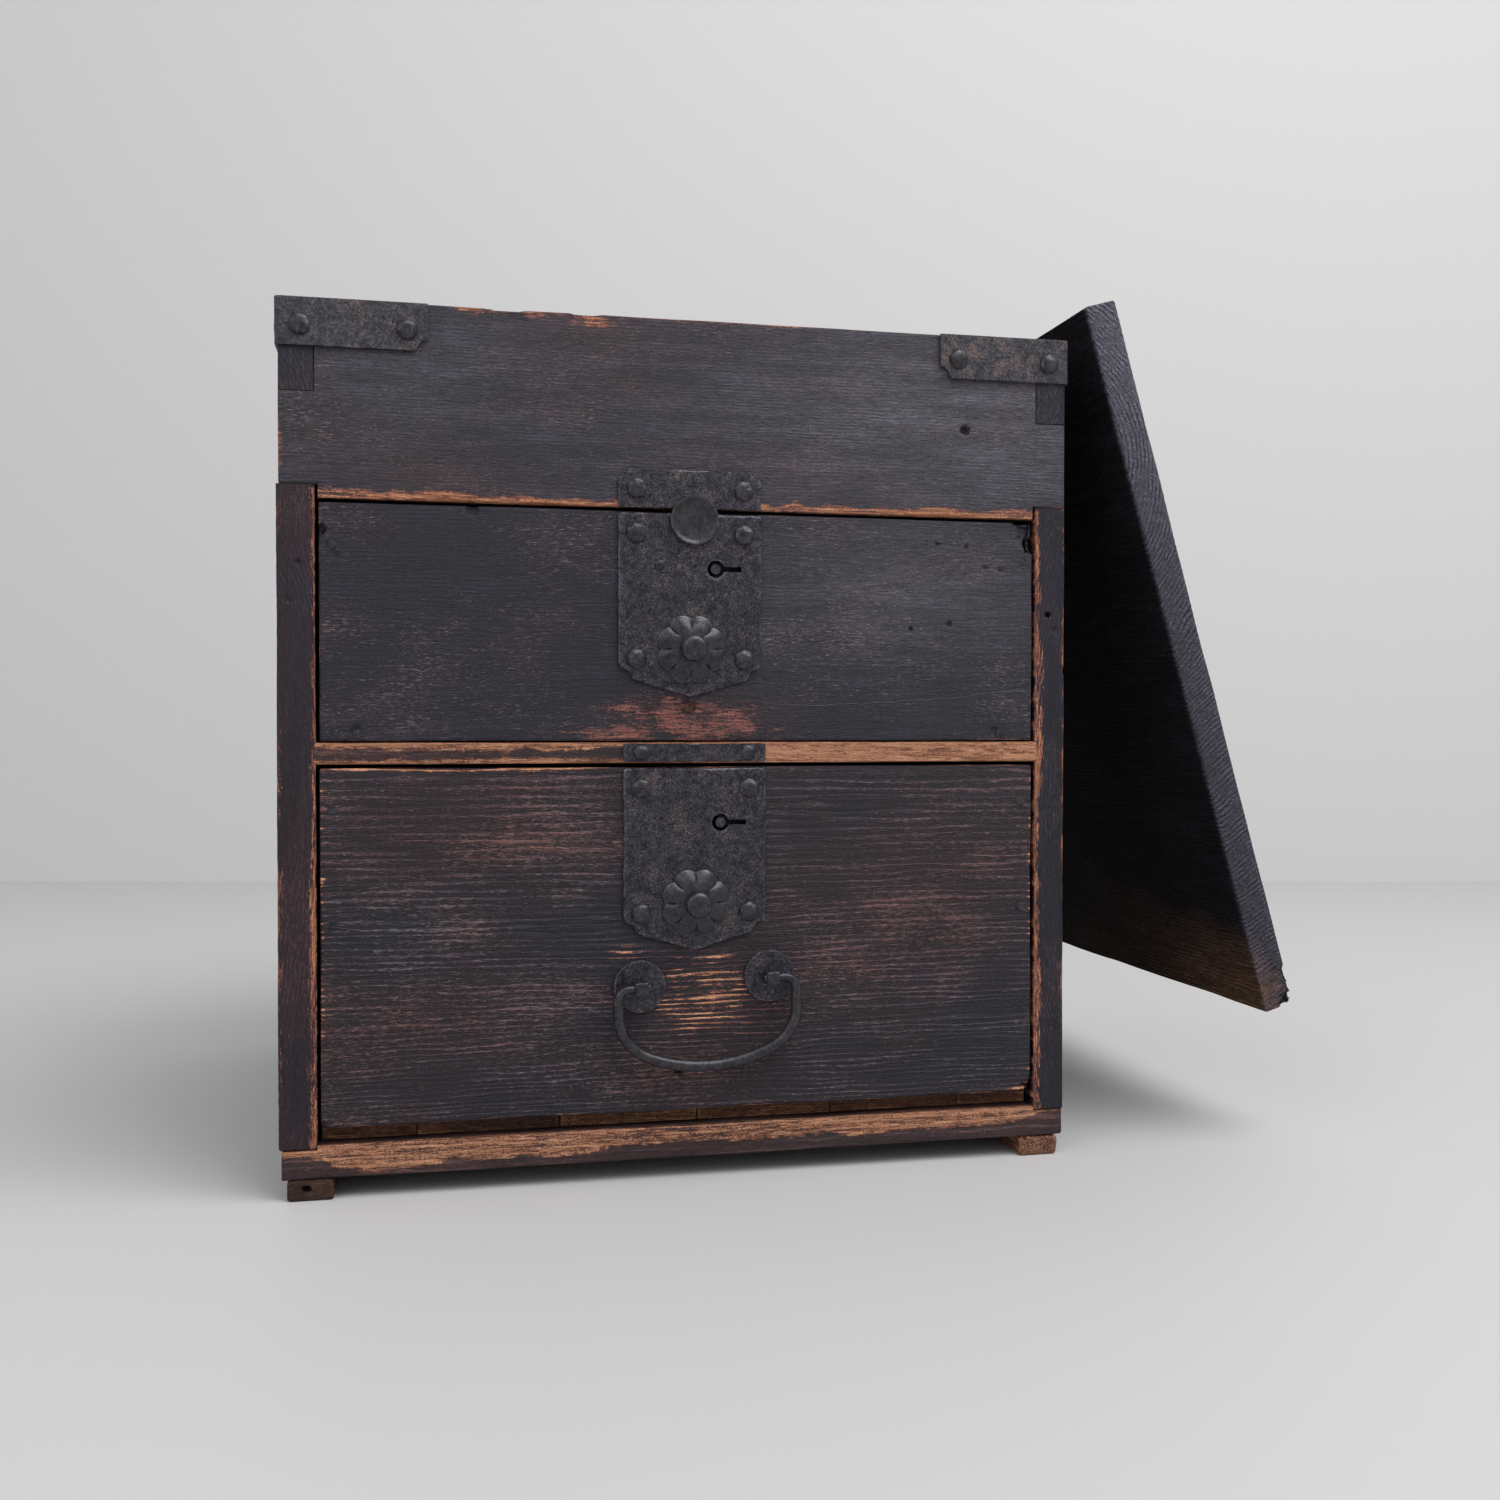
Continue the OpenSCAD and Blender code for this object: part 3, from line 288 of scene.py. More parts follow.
def woodMaterial(name, look):
    # old softwood: streaks and splinters along the fibre, hard late wood lines that sway a little, and a
    # finish rubbed through where the wear layer is high, first to the stained wood and then to the bare wood
    material, tree, shader = newMaterial(name)
    shader.inputs["Specular IOR Level"].default_value = look["specular"]
    fibre = pointLayer(tree, "fibre", "Vector")
    rings, lines, splinters, wear, stained, warmth, dust, shade, crack = [
        pointLayer(tree, layer) for layer in woodLayers]
    waver = patternNoise(tree, fibre, (95, 420, 420), 2, 0.5)  # bends the fibres sideways every 10 mm
    waver = combine(tree, "MULTIPLY", centred(tree, waver), 3.6 * mm)
    bent = addNode(tree, "ShaderNodeCombineXYZ", {"Y": waver, "Z": waver}).outputs[0]
    bent = addNode(tree, "ShaderNodeVectorMath", {0: fibre, 1: bent}, operation="ADD").outputs[0]
    streak = patternNoise(tree, bent, look["fibres"], 5, 0.72)  # ends and folds of fibres in the finish
    grain = patternNoise(tree, bent, (40, 1300, 1300), 3, 0.65)  # long fibres of the bare wood, 0.8 mm apart
    grit = patternNoise(tree, fibre, (900, 1500, 1500), 3, 0.65)  # pores and nicks about 1 mm across
    dash = patternNoise(tree, bent, (230, 2300, 2300), 3, 0.6)  # splinters about 4 mm long, 0.4 mm high
    sway = patternNoise(tree, fibre, (26, 330, 330), 2, 0.5)  # bends the late wood lines every 3 mm
    blotch = patternNoise(tree, fibre, (14, 28, 28), 4, 0.6)  # palm-sized patches of the old finish
    band = patternNoise(tree, fibre, (20, 120, 120), 2, 0.5)  # lines come and go over about 9 mm

    # late wood: the last part of each ring, fading in and out along the board
    swayed = addShare(tree, sway, look["sway"], rings)
    late = toneRamp(tree, combine(tree, "FRACT", swayed), (0, 0.0), (0.45, 0.05), (0.72, 1.0), (0.86, 1.0),
                    (1, 0.0))
    late = combine(tree, "MULTIPLY", late, toneRamp(tree, band, (0.38, look["faintLine"]), (0.6, 1.0)))
    late = combine(tree, "MULTIPLY", late, lines)

    # rubbed: the wear, stronger on the late lines, and broken up by the noises where there is wear to break
    rubbed = combine(tree, "MULTIPLY", wear, addShare(tree, late, look["ridgeRub"], look["valleyRub"]))
    loose = addShare(tree, combine(tree, "ADD", wear, stained), 0.9, 0.35)
    noises = 0.0
    for noise, key in ((streak, "streakRub"), (grit, "gritRub"), (grain, "grainRub"), (blotch, "blotchRub")):
        noises = addShare(tree, centred(tree, noise), look[key], noises)
    rubbed = addShare(tree, noises, loose, rubbed)
    through = toneRamp(tree, combine(tree, "ADD", rubbed, stained), (0.32, 0.0), (0.43, 1.0))
    down = toneRamp(tree, rubbed, (0.48, 0.0), (0.6, 1.0))

    # the finish: blue-black and wine-brown patches under dust with a painted sheen, toned by the lines and
    # the noises
    warm = addShare(tree, centred(tree, blotch), look["patchy"], warmth)
    warm = addNode(tree, "ShaderNodeClamp", {"Value": warm}).outputs[0]
    coat = blendColours(tree, warm, linearColour(look["coolCoat"]), linearColour(look["warmCoat"]))
    coat = blendColours(tree, dust, coat, linearColour(look["dustColour"]))
    ridged = addShare(tree, late, look["ridgeTone"], 1 - 0.6 * look["ridgeTone"])
    ridged = addNode(tree, "ShaderNodeCombineColor", dict.fromkeys(range(3), ridged)).outputs[0]
    coat = toned(tree, coat, ridged)
    coat = toned(tree, coat, toneRamp(tree, streak, (0.3, 0.25), (0.5, 0.9), (0.68, 1.9)))
    coat = toned(tree, coat, toneRamp(tree, sway, (0.34, 0.85), (0.66, 1.15)))
    coat = toned(tree, coat, toneRamp(tree, band, (0.36, 0.78), (0.64, 1.2)))
    # the late wood ridges paler and greyer: partly rubbed, partly a painted sheen
    lift = combine(tree, "MULTIPLY", late, look["ridgeRubAndSheen"])
    coat = blendColours(tree, lift, coat, linearColour(look["ridgeRubAndSheenColour"]))

    # pale splinters and nicks in the finish
    hairs = addShare(tree, late, 0.13, dash)
    hairs = addShare(tree, centred(tree, blotch), 0.5, hairs)
    hairs = combine(tree, "MULTIPLY", toneRamp(tree, hairs, (0.6, 0.0), (0.72, 1.0)), look["dash"])
    hairs = combine(tree, "MULTIPLY", hairs, splinters)
    nicks = combine(tree, "MULTIPLY", toneRamp(tree, grit, (0.66, 0.0), (0.72, 1.0)), look["nick"])
    hairs = combine(tree, "MAXIMUM", hairs, nicks)
    hairColour = blendColours(tree, warm, linearColour(look["coolDash"]), linearColour(look["warmDash"]))
    coat = blendColours(tree, hairs, coat, hairColour)

    # what lies under the finish, with dark pores over all
    bareShare = addShare(tree, late, 0.2, addShare(tree, grain, 1.7, -0.42))
    bare = toneRamp(tree, bareShare, (0.26, look["bareDark"]), (0.44, look["bareMid"]),
                    (0.72, look["bareLight"]))
    stain = toneRamp(tree, grain, (0.36, look["stainDark"]), (0.62, look["stain"]))
    colour = blendColours(tree, through, coat, stain)
    colour = blendColours(tree, down, colour, bare)
    colour = toned(tree, colour, toneRamp(tree, grit, (0.34, 0.15), (0.45, 1.0)))

    # a crack is a dark line under a pale lip, and steep dents darken with painted shade
    ragged = addShare(tree, centred(tree, grit), 0.9, crack)
    lip = toneRamp(tree, ragged, (0.3, 0.0), (0.42, 0.2), (0.7, 0.2), (0.95, 0.0))
    colour = blendColours(tree, lip, colour, hairColour)
    split = toneRamp(tree, combine(tree, "ABSOLUTE", ragged), (0.2, 1.0), (0.4, 0.0))
    dark = combine(tree, "MAXIMUM", shade, combine(tree, "MULTIPLY", split, 0.9))
    colour = blendColours(tree, dark, colour, linearColour("#0b0908"))
    tree.links.new(colour, shader.inputs["Base Color"])

    rough = addNode(tree, "ShaderNodeMapRange", {"Value": down, 3: look["coatRough"], 4: look["bareRough"]})
    rough = addShare(tree, centred(tree, streak), 0.3, rough.outputs[0])
    tree.links.new(rough, shader.inputs["Roughness"])
    height = addShare(tree, late, look["ridgeBump"], combine(tree, "MULTIPLY", streak, 0.8))
    height = addShare(tree, hairs, 0.35, addShare(tree, grit, 0.5, height))
    height = combine(tree, "SUBTRACT", height, split)
    bump = addNode(tree, "ShaderNodeBump", {"Height": height, "Strength": look["bump"], "Distance": 1.0 * mm})
    tree.links.new(bump.outputs[0], shader.inputs["Normal"])
    return material


def ironMaterial(name, look):
    # wrought iron, blackened and oiled: a skin of fine pits, brown rust in soft blotches, and arrises and
    # heads that the rubbed layer makes paler and smoother
    material, tree, shader = newMaterial(name)
    place = addNode(tree, "ShaderNodeTexCoord").outputs["Object"]
    rubbed = pointLayer(tree, "rubbed")
    pits = patternNoise(tree, place, (1150, 1150, 1150), 4, 0.75)  # pits and scale about 0.9 mm across
    dull = patternNoise(tree, place, (260, 260, 260), 3, 0.6)  # hammered unevenness of about 4 mm
    blotch = patternNoise(tree, place, (75, 75, 75), 4, 0.6)  # rust patches of about 13 mm
    rubbed = combine(tree, "MULTIPLY", rubbed, toneRamp(tree, dull, (0.36, 0.25), (0.6, 1.0)))
    rust = addShare(tree, centred(tree, pits), 0.4, blotch)
    rust = toneRamp(tree, rust, (look["rustFrom"], 0.0), (look["rustFrom"] + 0.12, 1.0))
    rust = combine(tree, "MULTIPLY", rust, look["rust"])
    skin = toneRamp(tree, dull, (0.3, look["dark"]), (0.7, look["light"]))
    bright = combine(tree, "MULTIPLY", rubbed, look["edge"])
    skin = blendColours(tree, bright, skin, linearColour(look["rubbedColour"]))
    colour = blendColours(tree, rust, skin, linearColour(look["rustColour"]))
    speck = toneRamp(tree, pits, (0.33, look["pit"]), (0.46, 0.72), (0.57, 1.15), (0.69, look["crumb"]))
    tree.links.new(toned(tree, colour, speck), shader.inputs["Base Color"])
    metal = addNode(tree, "ShaderNodeMapRange", {"Value": rust, 3: look["metal"], 4: 0.1}).outputs[0]
    tree.links.new(metal, shader.inputs["Metallic"])
    rough = addNode(tree, "ShaderNodeMapRange", {"Value": rust, 3: look["rough"], 4: 0.85}).outputs[0]
    rough = addShare(tree, rubbed, -0.12, addShare(tree, centred(tree, dull), 0.3, rough))
    tree.links.new(rough, shader.inputs["Roughness"])
    height = addShare(tree, pits, 0.6, dull)
    bump = addNode(tree, "ShaderNodeBump", {"Height": height, "Strength": look["bump"], "Distance": 0.4 * mm})
    tree.links.new(bump.outputs[0], shader.inputs["Normal"])
    return material


# softwood stained black with soot and oil, then rubbed for a century: blue-black and wine-brown patches, a
# pale fleck where a splinter stands up, and stained and bare wood where hands and edges have rubbed
blackLook = {
    "coolCoat": "#1c1829", "warmCoat": "#301b26", "patchy": 2.4, "dustColour": "#5d5964",
    "ridgeRubAndSheenColour": "#4a4248", "ridgeRubAndSheen": 0.15, "ridgeTone": 0.6, "faintLine": 0.14, "sway": 0.7,
    "dash": 0.58, "nick": 0.42, "coolDash": "#8d8692", "warmDash": "#8e6962", "fibres": (170, 1150, 1150),
    "stain": "#8f574a", "stainDark": "#482a2a",
    "bareDark": "#6b4030", "bareMid": "#9d6346", "bareLight": "#c88e68",
    "ridgeRub": 1.0, "valleyRub": 0.62, "streakRub": 1.3, "gritRub": 0.9, "grainRub": 0.8, "blotchRub": 0.9,
    "specular": 0.36, "coatRough": 0.44, "bareRough": 0.75, "ridgeBump": 0.5, "bump": 0.9}
sootBlackWood = woodMaterial("soot_black_softwood", blackLook)
# the same finish on wood whose late lines stand up, so that only they are rubbed bare
ridgedBlackWood = woodMaterial("ridged_soot_black_softwood", {
    **blackLook, "coolCoat": "#1a1724", "warmCoat": "#2a1722", "sway": 1.3,
    "bareMid": "#b0744f", "bareLight": "#dba581", "ridgeRub": 1.32, "valleyRub": 0.3, "blotchRub": 0.45})
# the same finish with painted shade, for the lid: near black with almost no specular, so that its face stays
# dark as if in shadow; its end is paled by dust and a painted sheen
paintedShadeBlackWood = woodMaterial("painted_shade_black_softwood", {
    **blackLook, "coolCoat": "#161418", "warmCoat": "#4a372c", "patchy": 0.6, "dustColour": "#65646f",
    "ridgeRubAndSheen": 0.0, "ridgeTone": -1.1, "dash": 0.06, "nick": 0.03,
    "stain": "#5a4034", "stainDark": "#3a2a22",
    "bareDark": "#4e382c", "bareMid": "#765642", "bareLight": "#9a7459",
    "specular": 0.01, "coatRough": 0.6})
# the same wood on edges and rails where hardly any black is left, worn across the lines by fingers
wornEdgeWood = woodMaterial("worn_stained_softwood", {
    **blackLook, "coolCoat": "#2e2527", "warmCoat": "#40282a", "ridgeRubAndSheenColour": "#503a38", "dash": 0.35,
    "stain": "#7a4a35", "stainDark": "#4c2f26",
    "bareDark": "#704834", "bareMid": "#a06c50", "bareLight": "#bd8c6c",
    "ridgeRub": 0.25, "streakRub": 0.9, "grainRub": 0.6, "coatRough": 0.6})
# unfinished softwood, darkened by age and dust, as inside a drawer
agedInnerWood = woodMaterial("aged_bare_softwood", {
    **blackLook, "coolCoat": "#46332a", "warmCoat": "#5a3a2c", "ridgeRubAndSheenColour": "#6b4a38",
    "dustColour": "#6d5c4d", "dash": 0.15, "coolDash": "#8a7765",
    "stain": "#6b4834", "stainDark": "#4a3226",
    "bareDark": "#5e4230", "bareMid": "#7f5d43", "bareLight": "#9a7859",
    "ridgeRub": 0.3, "valleyRub": 0.8, "streakRub": 0.6, "gritRub": 0.5, "grainRub": 0.6,
    "specular": 0.2, "coatRough": 0.75, "bareRough": 0.85, "bump": 0.6})
# wrought iron plate, oil-blackened, with brown rust
blackIron = ironMaterial("blackened_wrought_iron", {
    "dark": "#26252b", "light": "#45434b", "rubbedColour": "#74737e", "edge": 0.6, "rustColour": "#5e4c48",
    "rust": 0.45, "rustFrom": 0.57, "metal": 0.7, "rough": 0.4, "bump": 1.0, "pit": 0.05, "crumb": 3.0})
# the same plate with the dust and dry rust of the top corners
dustyIron = ironMaterial("dusty_wrought_iron", {
    "dark": "#2c2b30", "light": "#4b494f", "rubbedColour": "#7d7b84", "edge": 0.6, "rustColour": "#6b5650",
    "rust": 0.5, "rustFrom": 0.54, "metal": 0.6, "rough": 0.45, "bump": 1.0, "pit": 0.1, "crumb": 2.4})
# the same iron where it is handled, with a soft shine
handledIron = ironMaterial("handled_wrought_iron", {
    "dark": "#2a292d", "light": "#47464c", "rubbedColour": "#828189", "edge": 0.7, "rustColour": "#4b3d39",
    "rust": 0.3, "rustFrom": 0.6, "metal": 0.7, "rough": 0.36, "bump": 0.6, "pit": 0.4, "crumb": 1.6})
# the bail, knobs and washers, nearly black with oil, shining only where the hand has worn them
oiledIron = ironMaterial("oiled_wrought_iron", {
    "dark": "#232226", "light": "#3d3b41", "rubbedColour": "#7a7980", "edge": 0.45, "rustColour": "#3c302b",
    "rust": 0.25, "rustFrom": 0.6, "metal": 0.5, "rough": 0.28, "bump": 0.5, "pit": 0.4, "crumb": 1.5})
print("materials made")


# Wooden boards

# What a board can be given, with lengths in mm and the rest as shares of 1.
# Patches and stains are (x, y, z, radius along x, y and z, strength), and a dent is (x, y, z, reach, depth).
# A band is (axis along, axis beyond, side, face axis, levels as (along, beyond), strength).
# An inset is (axis along, start, end, axis across, inset at its low side, inset at its high side).
# A pocket is (axis, side, first corner, last corner, depth), and a crack is places (x, z) on the front.
boardStyle = {
    "cells": (3, 3, 3),  # of the mesh, along x, y and z
    "arris": 1.0, "relief": 0.12,  # rounding of the edges, and how deep the soft wood has sunk
    "ringGap": 2.4, "drift": 0.0,  # gap of the year rings, and how their count bends away from the middle
    "wear": 0.14, "patches": [], "bands": [],  # rubbed bare
    "edgeWear": 0.35, "edgeWidth": 1.6,  # the same along the arrises
    "stains": [],  # rubbed down to the stained wood
    "warmth": 0.35, "warmPatches": [], "dust": 0.0, "dustPatches": [],  # brown or blue-black, and dusty with a painted sheen
    "dents": [], "insets": [], "pockets": [], "crack": None,
    "faceLines": 1.0, "endLines": 0.35, "endSplinters": 0.4,  # how far the lines and splinters show
    "endRun": None,  # the axis that streaks follow on the end grain
    "extent": None, "swing": None}  # own corners, and a motion from where the board is drawn


def gaussians(points, spots):
    # sum of soft ellipsoids, each (centre x, y, z, radius x, y, z, strength)
    total = np.zeros(len(points))
    for spot in spots:
        total += spot[6] * np.exp(-(((points - spot[:3]) / spot[3:6]) ** 2).sum(1))
    return total


farFromCrack = 3.0  # mm


def boardShape(low, high, grain, seed, style):
    # a sawn board: the skin of a block, its ends and edges stepped by insets, its arrises rounded by wear,
    # and every face sunk between the late wood lines of rings round the heart of the tree. A point's rings
    # are its distance from the heart, bent by noise, over their gap
    steps = [[], [], []]
    for along, start, end, across, lowIn, highIn in style["insets"]:
        steps[along] += [place for place in (start, end) if low[along] < place < high[along]]
    for axis, side, first, last, depth in style["pockets"]:
        others = [other for other in range(3) if other != axis]
        for other, start, end in zip(others, first, last):
            steps[other] += [start, end]
    lines = [latticeLines(low[i], high[i], style["cells"][i], style["arris"], steps[i],
                          [(dent[i], dent[3]) for dent in style["dents"]]) for i in range(3)]
    points, quads = blockSkin(lines)
    lowHere, highHere = np.tile(low, (len(points), 1)), np.tile(high, (len(points), 1))
    for along, start, end, across, lowIn, highIn in style["insets"]:
        inside = (points[:, along] > start) & (points[:, along] < end)
        inside |= (points[:, along] <= low[along]) & (start <= low[along])
        inside |= (points[:, along] >= high[along]) & (end >= high[along])
        lowHere[inside, across] = low[across] + lowIn
        highHere[inside, across] = high[across] - highIn
    share = (points - low) / (high - low)
    flat = lowHere + share * (highHere - lowHere)
    toFace = np.sort(np.minimum(flat - lowHere, highHere - flat), axis=1)
    edgeDistance = toFace[:, 1]
    worn = softNoise(flat, 30, seed)
    radius = style["arris"] * (1 + 0.55 * worn)[:, None]
    shaped, away = rounded(flat, lowHere, highHere, np.clip(radius, 0.05, 0.45 * (highHere - lowHere).min()))

    across, through = [axis for axis in range(3) if axis != grain]
    stretch = np.full(3, 34.0)
    stretch[grain] = 170  # the lines bend about every 170 mm along the grain and 34 mm across it
    heart = style["heart"]
    distance = np.hypot(flat[:, across] - heart[0], flat[:, through] - heart[1])
    distance += 2.2 * softNoise(flat, stretch, seed + 1) + 0.6 * softNoise(flat, stretch / 3, seed + 2)
    distance += 0.4 * softNoise(flat, stretch / 9, seed + 12)
    middle = np.median(distance)
    rings = (distance - middle) / style["ringGap"] + 0.5 * style["drift"] * (distance - middle) ** 2
    part = rings - np.floor(rings)
    late = smoothStep(part, 0.4, 0.72) * (1 - smoothStep(part, 0.88, 1.0))
    onEnd = np.abs(away[:, grain]) > 0.7
    lineShare = np.where(onEnd, style["endLines"], style["faceLines"])
    sunk = style["relief"] * lineShare * (1 - late) * (0.55 + 0.45 * softNoise(flat, stretch / 4, seed + 3))
    sunk += 0.12 * (1 + softNoise(flat, 55, seed + 4))  # the plane's unevenness
    # painted shade: a steep dent darkens towards its middle, where shade falls
    shade = np.zeros(len(flat))
    for x, y, z, reach, depth in style["dents"]:
        far = np.linalg.norm(flat - (x, y, z), axis=1) / reach
        far += 0.2 * softNoise(flat, 1.4, seed + 5)
        sunk += depth * (1 - smoothStep(far, 0.4, 1.0))
        steep = np.clip(1.1 * depth / reach - 0.3, 0, 1)
        shade = np.maximum(shade, steep * (1 - smoothStep(far, 0.25, 0.85)))
    shaped = shaped - away * sunk[:, None]
    for axis, side, first, last, depth in style["pockets"]:
        others = [other for other in range(3) if other != axis]
        inside = away[:, axis] * side > 0.9
        for other, start, end in zip(others, first, last):
            inside &= (points[:, other] > start) & (points[:, other] < end)
        shaped[inside, axis] = (high if side > 0 else low)[axis] - side * depth

    ragged = 0.8 + 0.5 * softNoise(flat, 11, seed + 7) + 0.3 * softNoise(flat, 3.5, seed + 8)
    wear = style["edgeWear"] * np.exp(-edgeDistance / style["edgeWidth"]) * (0.75 + 0.6 * worn)
    wear = style["wear"] + (wear + gaussians(flat, style["patches"])) * ragged
    # a band is bare beyond a level that changes along the board, on the face at the low end of an axis
    for along, beyond, side, face, levels, strength in style["bands"]:
        level = np.interp(flat[:, along], *np.transpose(levels))
        fray = 1.1 * softNoise(flat, 9, seed + 9) + 0.8 * softNoise(flat, 2.2, seed + 10)
        over = side * (flat[:, beyond] - level) + fray
        wear += strength * smoothStep(over, -1.6, 1.4) * np.exp(-(flat[:, face] - lowHere[:, face]) / 5)
    warmth = style["warmth"] + 0.3 * softNoise(flat, 70, seed + 6) + gaussians(flat, style["warmPatches"])
    dust = style["dust"] + gaussians(flat, style["dustPatches"])
    crack = np.full(len(flat), farFromCrack)
    if style["crack"]:
        # the height over the crack's line, which thins to nothing over the last 5 mm of each end
        x, z = np.transpose(style["crack"])
        wander = 0.5 * softNoise(flat * (1, 0, 0), 4, seed + 11)
        share = np.clip(np.minimum(flat[:, 0] - x[0], x[-1] - flat[:, 0]) / 5, 0.02, 1)
        crack = (flat[:, 2] - np.interp(flat[:, 0], x, z) + wander) / share
        crack = np.where(away[:, 1] < 0, np.clip(crack, -farFromCrack, farFromCrack), farFromCrack)
    order = [grain, across, through]
    fibre = flat[:, order]
    if style["endRun"] is not None:
        run = [style["endRun"]] + [axis for axis in (across, through) if axis != style["endRun"]] + [grain]
        fibre = np.where(onEnd[:, None], flat[:, run], fibre)
    if style["swing"]:
        shaped = style["swing"](shaped)
    layers = {"fibre": fibre * mm + seed * 0.37, "rings": rings + 50, "lines": lineShare, "wear": wear,
              "splinters": np.where(onEnd, style["endSplinters"], 1.0),
              "stained": gaussians(flat, style["stains"]) * ragged, "warmth": warmth,
              "dust": np.clip(dust, 0, 1), "shade": shade, "crack": crack}
    return shaped, quads, layers


def woodBoard(name, node, body, finish, slot, grain, seed, **changes):
    style = {**boardStyle, **changes}
    low, high = style["extent"] or nodeBox(node)
    points, quads, layers = boardShape(np.array(low, float), np.array(high, float), grain, seed, style)
    return makePiece(name, (points, [quads]), body, finish, [node], layers)


def boardRow(name, node, body, finish, slot, grain, seed, cuts, **changes):
    # boards side by side along x as one piece, cut at the given places with a hair between them
    style = {**boardStyle, **changes}
    low, high = nodeBox(node)
    ends = [low[0], *cuts, high[0]]
    hair = 0.15
    parts = []
    for number, (start, end) in enumerate(zip(ends[:-1], ends[1:])):
        nearLow = np.array([start + (hair if number else 0), low[1], low[2]])
        nearHigh = np.array([end - (hair if number < len(cuts) else 0), high[1], high[2]])
        parts.append(boardShape(nearLow, nearHigh, grain, seed + number, style))
    shape = joined([(points, [quads]) for points, quads, layers in parts])
    layers = {layer: np.concatenate([part[2][layer] for part in parts]) for layer in parts[0][2]}
    return makePiece(name, shape, body, finish, [node], layers)


# places of the part's source that a node's box doesn't give
boardT, caseW, caseD, caseH = 16.8, 400.0, 375.0, 432.0
lipZ, frameZ, fingerZ = 337.0, 343.5, 388.0  # under the top front board, and under and over its fingers
shoulder = 18.3  # from the side, where the lip's end clears the side board
upperLock, lowerLock = (198.4, 334.7), (200.8, 207.2)  # middle of the top edge of each lock plate
sideInsets = [(2, frameZ, fingerZ, 1, boardT, boardT)]
fingerInset, shoulderInset = (2, frameZ - lipZ, caseH - fingerZ), (2, frameZ - lipZ, 0)
frontInsets = [(0, 0, boardT, *fingerInset), (0, boardT, shoulder, *shoulderInset),
               (0, caseW - boardT, caseW, *fingerInset),
               (0, caseW - shoulder, caseW - boardT, *shoulderInset)]
bottomInsets = [(0, 0, boardT, 2, 0, 2), (0, caseW - boardT, caseW, 2, 0, 2)]
sideStyle = {"cells": (1.05, 3.8, 1.9), "arris": 1.3, "relief": 0.1, "ringGap": 2.1, "endRun": 2}


# a bolt's mortise, from the middle of the lock and from the front
boltLook = {"left": -15.3, "right": -2.7, "front": 3.2, "back": 7.8}


def boltPocket(lock, side, depth):
    # the mortise that a bolt slides in, in the lower (-1) or the upper (1) edge of a board
    return (2, side, (round(lock[0] + boltLook["left"], 1), boltLook["front"]),
            (round(lock[0] + boltLook["right"], 1), boltLook["back"]), depth)


woodBoard(
    "sideLeft", "side_left", "case", sootBlackWood, "black_wood", 1, 1, **sideStyle, heart=(-420, 190),
    insets=[*sideInsets, (2, 0, frameZ, 0, -1.2, 0)], warmth=0.9,
    warmPatches=[(8, 0, 410, 14, 4, 24, -1.3)], dents=[(9.1, 0, 305.9, 2.2, 0.8), (3.5, 0, 288, 2.5, 0.5)],
    bands=[(2, 0, 1, 1, [(24, 12.8), (100, 13.6), (160, 14.7), (250, 14.9), (300, 15.2), (343, 14.8),
                         (344, 30)], 0.42)],
    patches=[(0, 0, 120, 1.8, 2, 100, 0.35), (5, 0, 289, 5, 3, 3, 0.4), (8, 0, 410, 12, 3, 22, -0.3)])
woodBoard(
    "sideRight", "side_right", "case", sootBlackWood, "black_wood", 1, 2, **sideStyle, heart=(840, 170),
    insets=sideInsets, warmth=0.1, warmPatches=[(392, 0, 410, 14, 4, 24, -0.6)],
    dents=[(390.7, 0, 287, 1.8, 3), (394.6, 0, 279, 2.5, 0.7), (399, 0, 258, 3, 0.8)],
    bands=[(2, 0, -1, 1, [(24, 387), (60, 387.2), (110, 386.2), (150, 385), (190, 385.4), (215, 387.8),
                          (250, 388), (285, 386), (343, 384.8), (344, 370)], 0.52)],
    patches=[(caseW, 0, 200, 1.6, 2, 150, 0.4), (392, 0, 410, 12, 3, 22, -0.3)])
woodBoard(
    "topFront", "top_front_board", "case", sootBlackWood, "black_wood", 0, 3, cells=(2.1, 3, 1.05),
    heart=(60, 90), insets=frontInsets, arris=1.2, relief=0.08, ringGap=1.7, faceLines=0.25,
    warmth=0.15, dust=0.2, pockets=[boltPocket(upperLock, -1, 6.5)],
    # dust and a painted sheen make the board paler towards the right
    dustPatches=[(330, 0, 390, 110, 6, 50, 0.6), (60, 0, 400, 60, 6, 30, 0.25)],
    bands=[(0, 2, -1, 1, [(18, 342.2), (60, 341.4), (123, 340.4), (180, 340.2), (230, 340.8), (300, 340.8),
                          (345, 341.2), (365, 342), (382, 343.4)], 0.72)],
    patches=[(110, 0, 431, 30, 4, 3.5, 0.75), (148, 0, 428, 12, 4, 4, 0.5), (0, 0, 362, 2, 4, 12, 0.45),
             (240, 0, 432, 60, 3, 1.5, 0.3), (103, 0, 384, 9, 4, 4, 0.22), (173, 0, 397, 14, 4, 6, 0.22),
             (85, 0, 350, 40, 4, 5, 0.2), (240, 0, 347, 20, 4, 12, 0.2), (345, 0, 382, 5, 4, 3, 0.3)],
    warmPatches=[(60, 0, 350, 70, 6, 10, 0.6), (150, 0, 424, 60, 6, 12, 0.5), (170, 0, 395, 20, 6, 8, 0.6),
                 (250, 0, 350, 50, 6, 16, 0.4)],
    dents=[(344.1, 0, 382.8, 3.2, 3), (108, 0, 432, 12, 0.8), (146, 0, 432, 9, 0.7), (90.7, 0, 337, 4, 0.8)])
woodBoard(
    "topBack", "top_back_board", "case", sootBlackWood, "black_wood", 0, 4, cells=(3, 2.4, 1.5),
    heart=(60, 90), insets=frontInsets[::2], arris=1.2, relief=0.1, ringGap=2.2)
